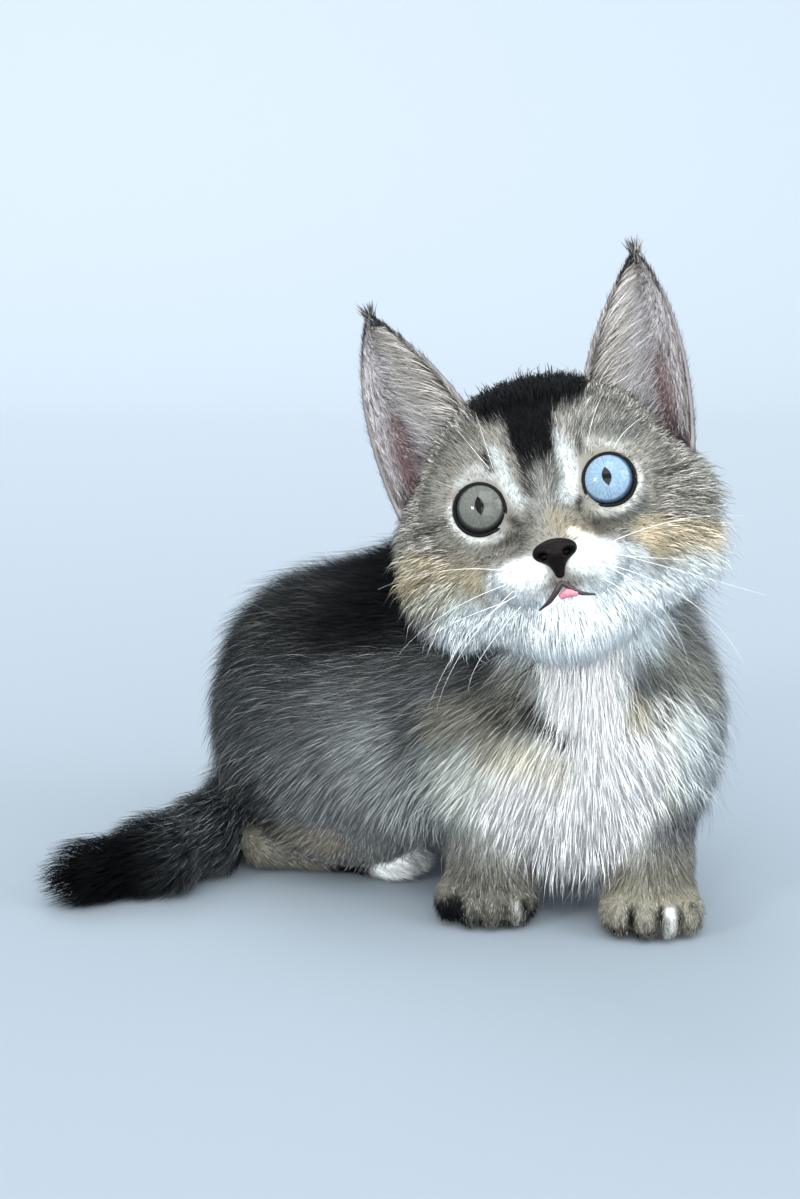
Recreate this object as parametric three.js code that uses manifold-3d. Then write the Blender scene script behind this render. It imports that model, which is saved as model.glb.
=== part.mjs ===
// A munchkin kitten at life size, sitting with its hindquarters turned to one side, its short
// forelegs set square under the chest, its tail laid along the ground and its head raised.
// Millimetres, +Z up, the chest faces -Y. The solids reach to the outside of the coat.
// Soft forms are smooth distance fields, meshed on a grid and then parted with thin cuts.
import * as THREE from "three";
import { mergeVertices } from "three/addons/utils/BufferGeometryUtils.js";
import Module from "manifold-3d";

const wasm = await Module();
wasm.setup();

// Driving dimensions
const GAP = 0.3; // between pieces that touch
const HEAD = { at: [38.2, -10, 110.5], yaw: -7, pitch: 16, roll: 14.6 }; // degrees
const EYE = { spacing: 31, radius: 8.2, depth: -19.5, lidRing: 7.1, lidThick: 1.3, outward: 9 };
const REAR = { at: [-12, 36, 42], turn: -18 }; // the hindquarters and the way they point
const ORIGIN = [-0.6, 11.8, 0]; // the middle of the ground under the whole kitten
const BODY_CELL = 8.5; // grid cells that the soft forms are meshed on
const TAIL_CELL = 5.9;
const HEAD_CELL = 4.3;
const HIND_CELL = 4.3;
const FORE_CELL = 3.5;
const NOSE_CELL = 2.1;

// Distance fields: each is a function of x, y, z, negative inside
const { cos, sin, hypot, min, max, PI, abs } = Math;
const radians = (degrees) => (degrees * PI) / 180;
const lerp = (a, b, t) => a + (b - a) * t;
const between = (a, b, t) => a.map((value, i) => lerp(value, b[i], t));

function ellipsoid([cx, cy, cz], [rx, ry, rz], turn = 0) {
  const c = cos(radians(turn));
  const s = sin(radians(turn));
  return (x, y, z) => {
    const dx = x - cx;
    const dy = y - cy;
    const px = (c * dx + s * dy) / rx;
    const py = (c * dy - s * dx) / ry;
    const pz = (z - cz) / rz;
    const near = hypot(px, py, pz);
    const far = hypot(px / rx, py / ry, pz / rz);
    return far < 1e-9 ? -min(rx, ry, rz) : (near * (near - 1)) / far;
  };
}

// A rod with round ends of two radii
function taper([ax, ay, az], [bx, by, bz], ra, rb) {
  const ux = bx - ax;
  const uy = by - ay;
  const uz = bz - az;
  const length2 = ux * ux + uy * uy + uz * uz;
  return (x, y, z) => {
    const along = ((x - ax) * ux + (y - ay) * uy + (z - az) * uz) / length2;
    const t = min(1, max(0, along));
    return hypot(x - ax - t * ux, y - ay - t * uy, z - az - t * uz) - lerp(ra, rb, t);
  };
}

function smoothMin(a, b, k) {
  const h = max(k - abs(a - b), 0) / k;
  return min(a, b) - (h * h * k) / 4;
}

// Fields joined one after another with a fillet of about k
const blend = (k, ...fields) => (x, y, z) =>
  fields.reduce((sum, field) => smoothMin(sum, field(x, y, z), k), 1e3);

const carve = (k, field, tool) => (x, y, z) => -smoothMin(-field(x, y, z), tool(x, y, z), k);

// Meshes a field: one vertex in each cell that the surface crosses, drawn onto the surface
function meshOf(field, low, high, cell) {
  const count = low.map((value, i) => Math.ceil((high[i] - value) / cell) + 1);
  const [nx, ny, nz] = count;
  const index = (i, j, k) => (k * ny + j) * nx + i;
  const values = new Float32Array(nx * ny * nz);
  for (let k = 0; k < nz; k++)
    for (let j = 0; j < ny; j++)
      for (let i = 0; i < nx; i++)
        values[index(i, j, k)] = field(low[0] + i * cell, low[1] + j * cell, low[2] + k * cell);
  const steps = [1, nx, nx * ny];
  const corners = [0, 1, 2, 3, 4, 5, 6, 7].map((c) => [c & 1, (c >> 1) & 1, (c >> 2) & 1]);
  const vertexOf = new Int32Array(values.length).fill(-1);
  const points = [];
  for (let k = 0; k < nz - 1; k++)
    for (let j = 0; j < ny - 1; j++)
      for (let i = 0; i < nx - 1; i++) {
        const sum = [0, 0, 0];
        let crossings = 0;
        for (const from of corners)
          for (let axis = 0; axis < 3; axis++) {
            if (from[axis]) continue;
            const a = values[index(i + from[0], j + from[1], k + from[2])];
            const b = values[index(i + from[0], j + from[1], k + from[2]) + steps[axis]];
            if (a < 0 === b < 0) continue;
            const t = a / (a - b);
            for (let d = 0; d < 3; d++) sum[d] += from[d] + (d === axis ? t : 0);
            crossings++;
          }
        if (!crossings) continue;
        vertexOf[index(i, j, k)] = points.length / 3;
        const start = [i, j, k].map((n, d) => low[d] + (n + sum[d] / crossings) * cell);
        points.push(...ontoSurface(field, start, 0.4 * cell));
      }
  const faces = [];
  const gap2 = (a, b) =>
    (points[3 * a] - points[3 * b]) ** 2 +
    (points[3 * a + 1] - points[3 * b + 1]) ** 2 +
    (points[3 * a + 2] - points[3 * b + 2]) ** 2;
  for (let k = 1; k < nz - 1; k++)
    for (let j = 1; j < ny - 1; j++)
      for (let i = 1; i < nx - 1; i++)
        for (let axis = 0; axis < 3; axis++) {
          const here = index(i, j, k);
          const inside = values[here] < 0;
          if (inside === values[here + steps[axis]] < 0) continue;
          const u = steps[(axis + 1) % 3];
          const v = steps[(axis + 2) % 3];
          const ring = [here, here - u, here - u - v, here - v].map((cellAt) => vertexOf[cellAt]);
          if (!inside) ring.reverse();
          const [a, b, c, d] = ring;
          if (gap2(a, c) < gap2(b, d)) faces.push(a, b, c, a, c, d);
          else faces.push(a, b, d, b, c, d);
        }
  return surface(points, faces);
}

function ontoSurface(field, [x, y, z], reach) {
  const start = [x, y, z];
  const e = 0.2;
  for (let step = 0; step < 3; step++) {
    const d = field(x, y, z);
    const gx = field(x + e, y, z) - field(x - e, y, z);
    const gy = field(x, y + e, z) - field(x, y - e, z);
    const gz = field(x, y, z + e) - field(x, y, z - e);
    const steep = max(hypot(gx, gy, gz), 1e-6);
    x -= (d * gx) / steep;
    y -= (d * gy) / steep;
    z -= (d * gz) / steep;
  }
  const moved = hypot(x - start[0], y - start[1], z - start[2]);
  return moved > reach ? between(start, [x, y, z], reach / moved) : [x, y, z];
}

// A mesh with every vertex pushed out, to cut its neighbours clear of it
function swollen(geometry, by) {
  const out = geometry.clone();
  out.computeVertexNormals();
  const { position, normal } = out.attributes;
  for (let i = 0; i < position.count; i++)
    position.setXYZ(
      i,
      position.getX(i) + by * normal.getX(i),
      position.getY(i) + by * normal.getY(i),
      position.getZ(i) + by * normal.getZ(i),
    );
  return out;
}

function surface(points, faces) {
  return new THREE.BufferGeometry()
    .setAttribute("position", new THREE.BufferAttribute(new Float32Array(points), 3))
    .setIndex(faces);
}

// Closed meshes as solids that can be joined and cut, and back
function solid(geometry) {
  const bare = geometry.clone();
  bare.deleteAttribute("normal");
  bare.deleteAttribute("uv");
  const merged = mergeVertices(bare, 1e-4);
  return new wasm.Manifold(
    new wasm.Mesh({
      numProp: 3,
      vertProperties: new Float32Array(merged.attributes.position.array),
      triVerts: new Uint32Array(merged.index.array),
    }),
  );
}

function geometryOf(made) {
  const { vertProperties, triVerts, numProp } = made.getMesh();
  const points = [];
  for (let i = 0; i < vertProperties.length; i += numProp)
    points.push(vertProperties[i], vertProperties[i + 1], vertProperties[i + 2]);
  return surface(points, Array.from(triVerts));
}

// The largest closed surface, without any loose scrap or sealed hollow
const largest = (made) =>
  made.decompose().reduce((best, body) => (body.volume() > best.volume() ? body : best));

const joined = (pieces) => pieces.reduce((sum, piece) => sum.add(piece));

// Everything behind a plane through a point, as a block that cuts
function behind(point, facing) {
  const size = 400;
  const normal = new THREE.Vector3(...facing).normalize();
  const block = new THREE.BoxGeometry(size, size, size).toNonIndexed();
  block.translate(0, 0, -size / 2);
  block.applyQuaternion(new THREE.Quaternion().setFromUnitVectors(new THREE.Vector3(0, 0, 1), normal));
  block.translate(...point);
  return solid(block);
}

// Parts a solid with a thin cut: [the side that the plane faces, the other side]
function parted(made, point, facing) {
  const length = hypot(...facing);
  const shift = (by) => point.map((value, i) => value + (by * facing[i]) / length);
  const back = facing.map((value) => -value);
  return [
    made.subtract(behind(shift(GAP / 2), facing)),
    made.subtract(behind(shift(-GAP / 2), back)),
  ];
}

const onGround = (made) => made.subtract(behind([0, 0, 0], [0, 0, 1]));

// Directions across the ground: along the hindquarters, and out to the kitten's right side
const along = [cos(radians(REAR.turn)), sin(radians(REAR.turn))];
const rightward = [along[1], -along[0]];
const fromRear = (forward, right, height) => [
  REAR.at[0] + along[0] * forward + rightward[0] * right,
  REAR.at[1] + along[1] * forward + rightward[1] * right,
  height,
];

// Head, in its own frame: origin in the middle of the skull, the face towards -Y
const both = (make) => [make(-1), make(1)];
const eyeAt = (side) => [(side * EYE.spacing) / 2, EYE.depth, 0];
const skull = blend(
  6,
  ellipsoid([0, 4, 5], [33.5, 33, 27]),
  ellipsoid([0, -10, 9], [23, 17, 17]), // forehead
  ...both((side) => ellipsoid([side * 29, 3, -3], [12, 15, 14])), // under the ears
  ...both((side) => ellipsoid([side * 22.5, -10.5, 1], [9, 10, 11])), // temples
  ...both((side) => ellipsoid([side * 20, -5, -13], [19, 20, 17])), // cheeks
  ...both((side) => ellipsoid([side * 26, -1, -17], [13.5, 14, 13])), // jowls
  ellipsoid([0, -6, -22], [22, 20, 15]), // jaw
  taper([0, -16, 2], [0, -31, -13], 11, 5.5), // bridge of the nose
  ellipsoid([0, -24, -29], [9.5, 9, 7]), // chin
  ...both((side) => ellipsoid([side * 7.6, -29.5, -19], [10, 9, 7.6])), // lip pads
);
const sockets = blend(1, ...both((side) => ellipsoid([(side * EYE.spacing) / 2, -29.7, 0], [11, 6.2, 10])));
const headForm = carve(4, skull, sockets);
const headMesh = meshOf(headForm, [-46, -46, -46], [46, 44, 38], HEAD_CELL);

const headGroup = new THREE.Group();
headGroup.position.set(...HEAD.at);
headGroup.rotation.set(radians(-HEAD.pitch), radians(-HEAD.roll), radians(HEAD.yaw), "ZXY");
headGroup.updateMatrixWorld(true);
const eyeBall = (side, radius) => {
  const ball = new THREE.IcosahedronGeometry(radius, 2);
  ball.translate(...eyeAt(side));
  return ball;
};

// The lid: a soft ring that follows the ball and turns a little outward
function lid(side) {
  const ring = new THREE.TorusGeometry(EYE.lidRing, EYE.lidThick, 6, 16);
  ring.scale(1, 1, 1.2);
  ring.rotateX(PI / 2);
  ring.translate(0, -Math.sqrt(EYE.radius ** 2 - EYE.lidRing ** 2) - 0.2, 0);
  ring.rotateZ(radians(side * EYE.outward));
  ring.translate(...eyeAt(side));
  return ring;
}

// Nose leather: a soft triangle, wide above and drawn down to the split of the lip
const noseForm = blend(
  2,
  ellipsoid([0, -36.7, -14.8], [5.5, 3.3, 2.9]),
  taper([0, -36.9, -15.8], [0, -36.4, -20.4], 2.7, 1.2),
);
const nostril = (side) => {
  const hole = new THREE.SphereGeometry(1, 12, 8);
  hole.scale(1.15, 2.4, 0.85);
  hole.rotateZ(radians(side * 24));
  hole.translate(side * 3.3, -39.3, -15.7);
  return hole;
};

// A closed tube along a curve, for grooves
function tube(points, radius, steps) {
  const curve = new THREE.CatmullRomCurve3(points.map((p) => new THREE.Vector3(...p)));
  const section = new THREE.Shape(
    [0, 1, 2, 3, 4, 5].map((i) => new THREE.Vector2(radius * cos((i * PI) / 3), radius * sin((i * PI) / 3))),
  );
  return new THREE.ExtrudeGeometry(section, { steps, extrudePath: curve });
}
const LIP_LINE = [
  [-7.5, -32.5, -28.4],
  [-4, -36.8, -25.4],
  [-1.2, -38.2, -22.8],
  [1.2, -38.2, -22.8],
  [4, -36.8, -25.4],
  [7.5, -32.5, -28.4],
];
const PHILTRUM = [
  [0, -38.4, -19],
  [0, -39, -21],
  [0, -38.6, -23],
];

const noseMesh = meshOf(noseForm, [-10, -44, -24], [10, -28, -6], NOSE_CELL);
const inWorld = (geometry) => geometry.clone().applyMatrix4(headGroup.matrixWorld);
const headWhole = joined([headMesh, ...both(lid)].map((piece) => solid(inWorld(piece)))).subtract(
  joined(
    [
      ...both((side) => eyeBall(side, EYE.radius + GAP)),
      swollen(noseMesh, GAP),
      tube(LIP_LINE, 1.1, 12),
      tube(PHILTRUM, 0.8, 4),
    ].map((piece) => solid(inWorld(piece))),
  ),
);
const nose = solid(noseMesh).subtract(joined(both((side) => solid(nostril(side)))));

// Locks: flat tapered blades that follow the coat's surface, their roots sunk in it
let seed = 7;
function random(low, high) {
  seed = (seed * 16807) % 2147483647;
  return lerp(low, high, seed / 2147483647);
}

function slopeOf(field, p) {
  const e = 0.3;
  return new THREE.Vector3(
    field(p.x + e, p.y, p.z) - field(p.x - e, p.y, p.z),
    field(p.x, p.y + e, p.z) - field(p.x, p.y - e, p.z),
    field(p.x, p.y, p.z + e) - field(p.x, p.y, p.z - e),
  ).normalize();
}

// The point where a ray from inside leaves a field
function leaves(field, from, direction) {
  const p = new THREE.Vector3(...from);
  const step = new THREE.Vector3(...direction).normalize();
  for (let i = 0; i < 60; i++) p.addScaledVector(step, -field(p.x, p.y, p.z));
  return p;
}

const LOCK = { widths: [0.7, 1, 0.72], thick: [1, 1, 0.8], sink: 2.8, layer: 1.7 };

function blade(stations, tip) {
  const points = [...stations.flat(), tip].flatMap((p) => [p.x, p.y, p.z]);
  const last = 4 * stations.length;
  const faces = [0, 1, 2, 0, 2, 3];
  for (let ring = 0; ring < stations.length; ring++)
    for (let i = 0; i < 4; i++) {
      const a = 4 * ring + i;
      const b = 4 * ring + ((i + 1) % 4);
      if (ring === stations.length - 1) faces.push(b, a, last);
      else faces.push(b, a, a + 4, b, a + 4, b + 4);
    }
  return surface(points, faces);
}

// Follows the surface from its root; the outer layer lies over the inner one
function lock(field, start, lie, { length, width, thick, lift, outer }) {
  const p = start.clone();
  const run = new THREE.Vector3(...lie);
  const stations = [];
  const steps = LOCK.widths.length;
  for (let i = 0; i <= steps; i++) {
    const out = slopeOf(field, p);
    run.addScaledVector(out, -run.dot(out)).normalize();
    const height = i === 0 ? -LOCK.sink : ((lift + (outer ? LOCK.layer : 0)) * i) / steps;
    p.addScaledVector(out, height - field(p.x, p.y, p.z));
    if (i === steps) break;
    const across = run.clone().cross(out).multiplyScalar((width * LOCK.widths[i]) / 2);
    const up = out.clone().multiplyScalar((thick * LOCK.thick[i]) / 2);
    stations.push([p.clone().sub(across), p.clone().sub(up), p.clone().add(across), p.clone().add(up)]);
    p.addScaledVector(run, length / steps);
  }
  return blade(stations, p);
}

// Ears: a cupped sheet between an inner edge, an outer edge and the middle of its back
const EAR = {
  tip: [35, 3, 58],
  inner: [[12, -3, 20], [17.5, -1.5, 35], [24, 1.5, 47]],
  outer: [[38, -2, 4], [43, -1, 26], [42, 1.5, 45]],
  back: [[29, 17, 10], [32, 14, 29], [34, 7.5, 46]],
  thick: 2.6,
  thin: 1.3,
  hair: { rows: 4, from: 0.3, to: 0.66, width: 5, thick: 0.9 },
  rows: 8,
  columns: 8,
};
const bezier = (points, t) =>
  points.length === 1
    ? points[0]
    : bezier(points.slice(1).map((point, i) => between(points[i], point, t)), t);

function earPoint(u, v) {
  const inner = bezier([...EAR.inner, EAR.tip], v);
  const outer = bezier([...EAR.outer, EAR.tip], v);
  const back = bezier([...EAR.back, EAR.tip], v);
  const middle = back.map((value, i) => 2 * value - (inner[i] + outer[i]) / 2);
  return bezier([inner, middle, outer], u);
}

function ear(side) {
  const { rows, columns } = EAR;
  const last = 0.96; // of the height, where the tip is rounded off
  const layers = [[], []];
  for (let row = 0; row <= rows; row++)
    for (let column = 0; column <= columns; column++) {
      const v = (row / rows) * last;
      const u = column / columns;
      const e = 0.01;
      const at = new THREE.Vector3(...earPoint(u, v));
      const across = new THREE.Vector3(...earPoint(min(u + e, 1), v)).sub(
        new THREE.Vector3(...earPoint(max(u - e, 0), v)),
      );
      const up = new THREE.Vector3(...earPoint(u, min(v + e, 1))).sub(
        new THREE.Vector3(...earPoint(u, max(v - e, 0))),
      );
      const front = across.cross(up).normalize();
      const edge = (2 * u - 1) ** 2;
      const half = (lerp(EAR.thick, EAR.thin, v) * (1 - 0.45 * edge)) / 2;
      layers[0].push(at.clone().addScaledVector(front, -half));
      layers[1].push(at.clone().addScaledVector(front, half));
    }
  const size = (rows + 1) * (columns + 1);
  const points = [...layers[0], ...layers[1]].flatMap((p) => [side * p.x, p.y, p.z]);
  const faces = [];
  const quad = (a, b, c, d) => faces.push(...(side > 0 ? [a, b, c, a, c, d] : [a, c, b, a, d, c]));
  const at = (row, column, layer) => layer * size + row * (columns + 1) + column;
  for (let row = 0; row < rows; row++)
    for (let column = 0; column < columns; column++) {
      quad(at(row, column, 1), at(row, column + 1, 1), at(row + 1, column + 1, 1), at(row + 1, column, 1));
      quad(at(row, column, 0), at(row + 1, column, 0), at(row + 1, column + 1, 0), at(row, column + 1, 0));
    }
  for (let row = 0; row < rows; row++) {
    quad(at(row, 0, 0), at(row, 0, 1), at(row + 1, 0, 1), at(row + 1, 0, 0));
    quad(at(row, columns, 1), at(row, columns, 0), at(row + 1, columns, 0), at(row + 1, columns, 1));
  }
  for (let column = 0; column < columns; column++) {
    quad(at(0, column, 0), at(0, column + 1, 0), at(0, column + 1, 1), at(0, column, 1));
    quad(at(rows, column, 1), at(rows, column + 1, 1), at(rows, column + 1, 0), at(rows, column, 0));
  }
  return joined([surface(points, faces), ...furnishings(side)].map(solid));
}

// Hair that sweeps from the ear's inner edge across the cup, and a tuft past its tip
function furnishings(side) {
  const { rows, from, to, width, thick } = EAR.hair;
  const inCup = (u, v, out) => {
    const at = new THREE.Vector3(...earPoint(u, v));
    const across = new THREE.Vector3(...earPoint(u + 0.01, v)).sub(at);
    const up = new THREE.Vector3(...earPoint(u, v + 0.01)).sub(at);
    const front = across.clone().cross(up).normalize();
    return { at: at.addScaledVector(front, out), front, up: up.normalize() };
  };
  const mirrored = (p) => new THREE.Vector3(side * p.x, p.y, p.z);
  return Array.from({ length: rows }, (_, row) => {
    const v = lerp(from, to, row / (rows - 1));
    const heights = [0.1, EAR.thick * 0.75, EAR.thick * 0.9];
    const stations = heights.map((out, i) => {
      const { at, front, up } = inCup(0.1 + 0.2 * i, v + 0.05 * i, out);
      const flat = up.multiplyScalar((width * LOCK.widths[i]) / 2);
      const deep = front.multiplyScalar(thick / 2);
      const ring = [at.clone().sub(flat), at.clone().sub(deep), at.clone().add(flat), at.clone().add(deep)];
      return (side > 0 ? ring.reverse() : ring).map(mirrored);
    });
    return blade(stations, mirrored(inCup(0.66, v + 0.16, EAR.thick * 0.8).at));
  });
}
const ears = both((side) => ear(side).subtract(solid(swollen(headMesh, GAP))));

// Body: one smooth form from the neck to the rump, with the thighs and shoulders in it
const bodyForm = blend(
  14,
  ellipsoid(REAR.at, [41.5, 39, 42.5]), // rump
  ellipsoid([14, 27, 53], [36, 34, 43], REAR.turn), // loin
  ellipsoid([47, 7, 54], [36.5, 31.5, 38]), // ribs
  ellipsoid([49, -10, 46], [23, 17.5, 33]), // bib
  ellipsoid([44, -1, 30], [24, 20, 24]), // brisket
  taper([44, 9, 76], [39, 1, 98], 31, 26), // neck
  ellipsoid([72, 2, 46], [16, 20, 27]), // left shoulder
  ellipsoid([22, -2, 44], [18, 19, 26]), // right shoulder
  ...both((side) => ellipsoid(fromRear(5, side * 22, 30), [29, 15, 28], REAR.turn)), // thighs
);
const bodyMesh = meshOf(bodyForm, [-62, -44, -12], [100, 88, 132], BODY_CELL);
const bodyRoom = solid(swollen(bodyMesh, GAP));
const bodyWhole = onGround(solid(bodyMesh));

// Where the body is parted; the neck's cuts lean forward with the head
const NECK_LEAN = [0, -0.236, 1];
const THIGH_OUT = 25; // from the middle of the hindquarters
const [headTop, lower] = parted(headWhole.add(bodyWhole), [38, 5, 86], NECK_LEAN);
const [neck, torso] = parted(lower, [44, 5, 77], NECK_LEAN);
const [chestWhole, rear] = parted(torso, [26, 18, 50], [0.86, -0.5, 0]);
const thighCut = (side) => [fromRear(0, side * THIGH_OUT, 20), [rightward[0] * side, rightward[1] * side, 0]];

// Legs: short, straight under the shoulders, the paws with four toes each
function pawForm([x, y], turn, [wide, long, tall], toe) {
  const c = cos(radians(turn));
  const s = sin(radians(turn));
  const place = (right, forward, height) => [x + right * c + forward * s, y + right * s - forward * c, height];
  const toes = [-1.5, -0.5, 0.5, 1.5].map((n) =>
    ellipsoid(
      place(n * toe.pitch, long * (0.72 - 0.09 * n * n), toe.high),
      [toe.wide, toe.long, toe.tall],
      turn - 9 * n,
    ),
  );
  return blend(2.2, ellipsoid(place(0, 0, tall * 0.62), [wide, long, tall], turn), ...toes);
}
const FORE_TOE = { pitch: 6.4, wide: 4.4, long: 7.4, tall: 6, high: 5.2 };
const foreLegs = [
  { name: "right", top: [22, -3, 38], wrist: [24, -10, 14], paw: [23.4, -11], turn: -12 },
  { name: "left", top: [66, -5, 38], wrist: [65, -15, 14], paw: [65, -19], turn: 2 },
];

function foreLeg(leg) {
  const paw = pawForm(leg.paw, leg.turn, [13.6, 13, 9], FORE_TOE);
  const form = blend(5, taper(leg.top, leg.wrist, 14.5, 12), paw);
  const low = [leg.paw[0] - 22, leg.paw[1] - 26, -8];
  const high = [leg.paw[0] + 22, leg.paw[1] + 36, 60];
  const mesh = meshOf(form, low, high, FORE_CELL);
  const whole = onGround(solid(mesh)).subtract(bodyRoom);
  const [upper, lower] = parted(whole, [leg.wrist[0], leg.wrist[1], 13.5], [0, -0.3, 1]);
  return { upper, lower, room: solid(swollen(mesh, GAP)) };
}

// Hind feet: long, flat on the ground from heel to toe
const HIND_TOE = { pitch: 4.6, wide: 3.8, long: 6.4, tall: 5.6, high: 4.8 };
const hindFeet = [
  { name: "right", heel: [-37, 25, 7.2], ball: [-4, 20.5, 7], turn: 77 },
  { name: "left", heel: fromRear(-20, -24, 7.2), ball: fromRear(16, -22, 7), turn: 68 },
];

function hindFoot(foot) {
  const toes = pawForm(foot.ball, foot.turn, [9.5, 9.5, 7.2], HIND_TOE);
  const form = blend(4, taper(foot.heel, foot.ball, 8, 8), toes);
  const low = [0, 1].map((i) => min(foot.heel[i], foot.ball[i]) - 22);
  const high = [0, 1].map((i) => max(foot.heel[i], foot.ball[i]) + 22);
  return meshOf(form, [...low, -8], [...high, 22], HIND_CELL);
}

// Tail: lies on the ground in a curve from the rump round to the kitten's right
const TAIL = [
  { at: [-22, 54, 24], thick: 10 },
  { at: [-42, 44, 15], thick: 10 },
  { at: [-52, 24, 10.4], thick: 10.2 },
  { at: [-64, 8, 9.6], thick: 9.8 },
  { at: [-82.5, -2, 8.4], thick: 8.4 },
];
const tailForm = blend(
  6,
  ...TAIL.slice(1).map((end, i) => taper(TAIL[i].at, end.at, TAIL[i].thick, end.thick)),
);

const hindFootMeshes = hindFeet.map(hindFoot);
const feetRoom = joined(hindFootMeshes.map((mesh) => solid(swollen(mesh, GAP))));

// Coat that stands in locks: the bib, the ruff of the cheeks and the tail's brush
const BIB = { rows: 4, columns: 6, top: 66, bottom: 31, from: -44, to: 72 };
const bibLock = (height, turn, outer) => {
  const facing = [sin(radians(turn)), -cos(radians(turn)), 0];
  return lock(bodyForm, leaves(bodyForm, [47, 7, height], facing), [random(-0.25, 0.25), 0, -1], {
    length: random(19, 23),
    width: random(12.5, 14.5),
    thick: 1.1,
    lift: random(2.6, 3),
    outer,
  });
};
const bibLocks = [];
for (let row = 0; row < BIB.rows; row++)
  for (let column = 0; column < BIB.columns; column++) {
    const height = lerp(BIB.top, BIB.bottom, row / (BIB.rows - 1)) + random(-1.5, 1.5);
    const turn = lerp(BIB.from, BIB.to, (column + (row % 2) / 2) / BIB.columns) + random(-2, 2);
    bibLocks.push(bibLock(height, turn, (row + column) % 2 === 0));
  }

const RUFF = { count: 5, from: 14, to: -58 };
const ruffLocks = both((side) =>
  Array.from({ length: RUFF.count }, (_, i) => {
    const turn = radians(lerp(RUFF.from, RUFF.to, i / (RUFF.count - 1)) + random(-3, 3));
    const start = leaves(headForm, [side * 12, -2, -12], [side * cos(turn), -0.1, sin(turn)]);
    return lock(headForm, start, [side * 0.4, 0.25, -0.9], {
      length: random(13, 17),
      width: random(8, 10),
      thick: 1.1,
      lift: random(1.8, 2.4),
      outer: i % 2 === 0,
    });
  }),
);

const BRUSH = { around: 4, rows: [0, 0, 2, 2] };
const tailLocks = TAIL.slice(1).map((end, i) => {
  const start = TAIL[i].at;
  const run = end.at.map((value, d) => value - start[d]);
  const level = [run[1], -run[0]].map((value) => value / hypot(run[0], run[1]));
  const locks = [];
  for (let row = 0; row < BRUSH.rows[i]; row++)
    for (let k = 0; k < BRUSH.around; k++) {
      const turn = radians((360 * (k + row / 2)) / BRUSH.around + random(-6, 6));
      const out = [level[0] * cos(turn), level[1] * cos(turn), sin(turn)];
      if (out[2] < -0.5) continue;
      const root = leaves(tailForm, between(start, end.at, (row + 0.4) / BRUSH.rows[i]), out);
      locks.push(
        lock(tailForm, root, run, {
          length: random(14, 17),
          width: random(11, 13),
          thick: 1.1,
          lift: random(1, 2),
          outer: (row + k) % 2 === 0,
        }),
      );
    }
  return locks;
});

// The sculpture, one mesh for each part
const FINISH = {
  coat: { color: 0x6b675f, roughness: 0.95 },
  white: { color: 0xe6e4e0, roughness: 0.95 },
  dark: { color: 0x1e1f22, roughness: 0.95 },
  leather: { color: 0x35292a, roughness: 0.55 },
  blueEye: { color: 0x8fb7de, roughness: 0.05 },
  greenEye: { color: 0x8b9184, roughness: 0.05 },
};
const material = Object.fromEntries(
  Object.entries(FINISH).map(([name, look]) => [name, new THREE.MeshStandardMaterial({ metalness: 0, ...look })]),
);

const kitten = new THREE.Group();
kitten.position.set(-ORIGIN[0], -ORIGIN[1], -ORIGIN[2]);
function add(group, name, made, finish) {
  const mesh = new THREE.Mesh(made.isBufferGeometry ? made : geometryOf(largest(made)), material[finish]);
  mesh.name = name;
  group.add(mesh);
}

kitten.add(headGroup);
add(headGroup, "nose", nose, "leather");
add(headGroup, "ear_right", ears[0], "coat");
add(headGroup, "ear_left", ears[1], "coat");
add(headGroup, "eye_right", eyeBall(-1, EYE.radius), "greenEye");
add(headGroup, "eye_left", eyeBall(1, EYE.radius), "blueEye");

const legs = foreLegs.map(foreLeg);
const legRoom = joined(legs.map(({ room }) => room));
const [thighRight, middle] = parted(rear, ...thighCut(1));
const [thighLeft, hindquarters] = parted(middle, ...thighCut(-1));
const ruff = joined(ruffLocks.flat().map((geometry) => solid(inWorld(geometry))));
const headRoom = solid(inWorld(swollen(headMesh, GAP)));
const roomOf = (made) => solid(swollen(geometryOf(largest(made)), GAP));
const chest = joined([chestWhole, ...bibLocks.map(solid)]).subtract(legRoom).subtract(headRoom).subtract(roomOf(neck));
add(kitten, "head", headTop.add(ruff.subtract(bodyRoom)).subtract(roomOf(neck)), "coat");
add(kitten, "neck", neck, "coat");
add(kitten, "chest", chest, "white");
add(kitten, "hindquarters", hindquarters.subtract(feetRoom), "coat");
add(kitten, "thigh_right", thighRight.subtract(feetRoom), "coat");
add(kitten, "thigh_left", thighLeft.subtract(feetRoom), "coat");
foreLegs.forEach(({ name }, i) => {
  add(kitten, "foreleg_" + name, legs[i].upper, "coat");
  add(kitten, "forepaw_" + name, legs[i].lower, "coat");
});
hindFeet.forEach(({ name }, i) => add(kitten, "hindfoot_" + name, onGround(solid(hindFootMeshes[i])), "coat"));
const tailCore = solid(meshOf(tailForm, [-100, -20, -8], [-4, 72, 40], TAIL_CELL));
const tailWhole = onGround(joined([tailCore, ...tailLocks.flat().map(solid)])).subtract(bodyRoom).subtract(feetRoom);
const [tailRest, tailBase] = parted(tailWhole, TAIL[1].at, [-0.6, -1, 0]);
const [tailTip, tailMiddle] = parted(tailRest, TAIL[3].at, [-1, -0.6, 0]);
add(kitten, "tail_base", tailBase, "coat");
add(kitten, "tail_middle", tailMiddle, "coat");
add(kitten, "tail_tip", tailTip, "dark");

export default kitten;
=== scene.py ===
# A munchkin kitten at life size: short legs, a big-eyed face with one grey-green and one blue
# eye, a dark back, a white bib and a dark-tipped tail, on a pale ground.
import math

import bpy
import numpy as np
from mathutils import Matrix, Vector


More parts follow.
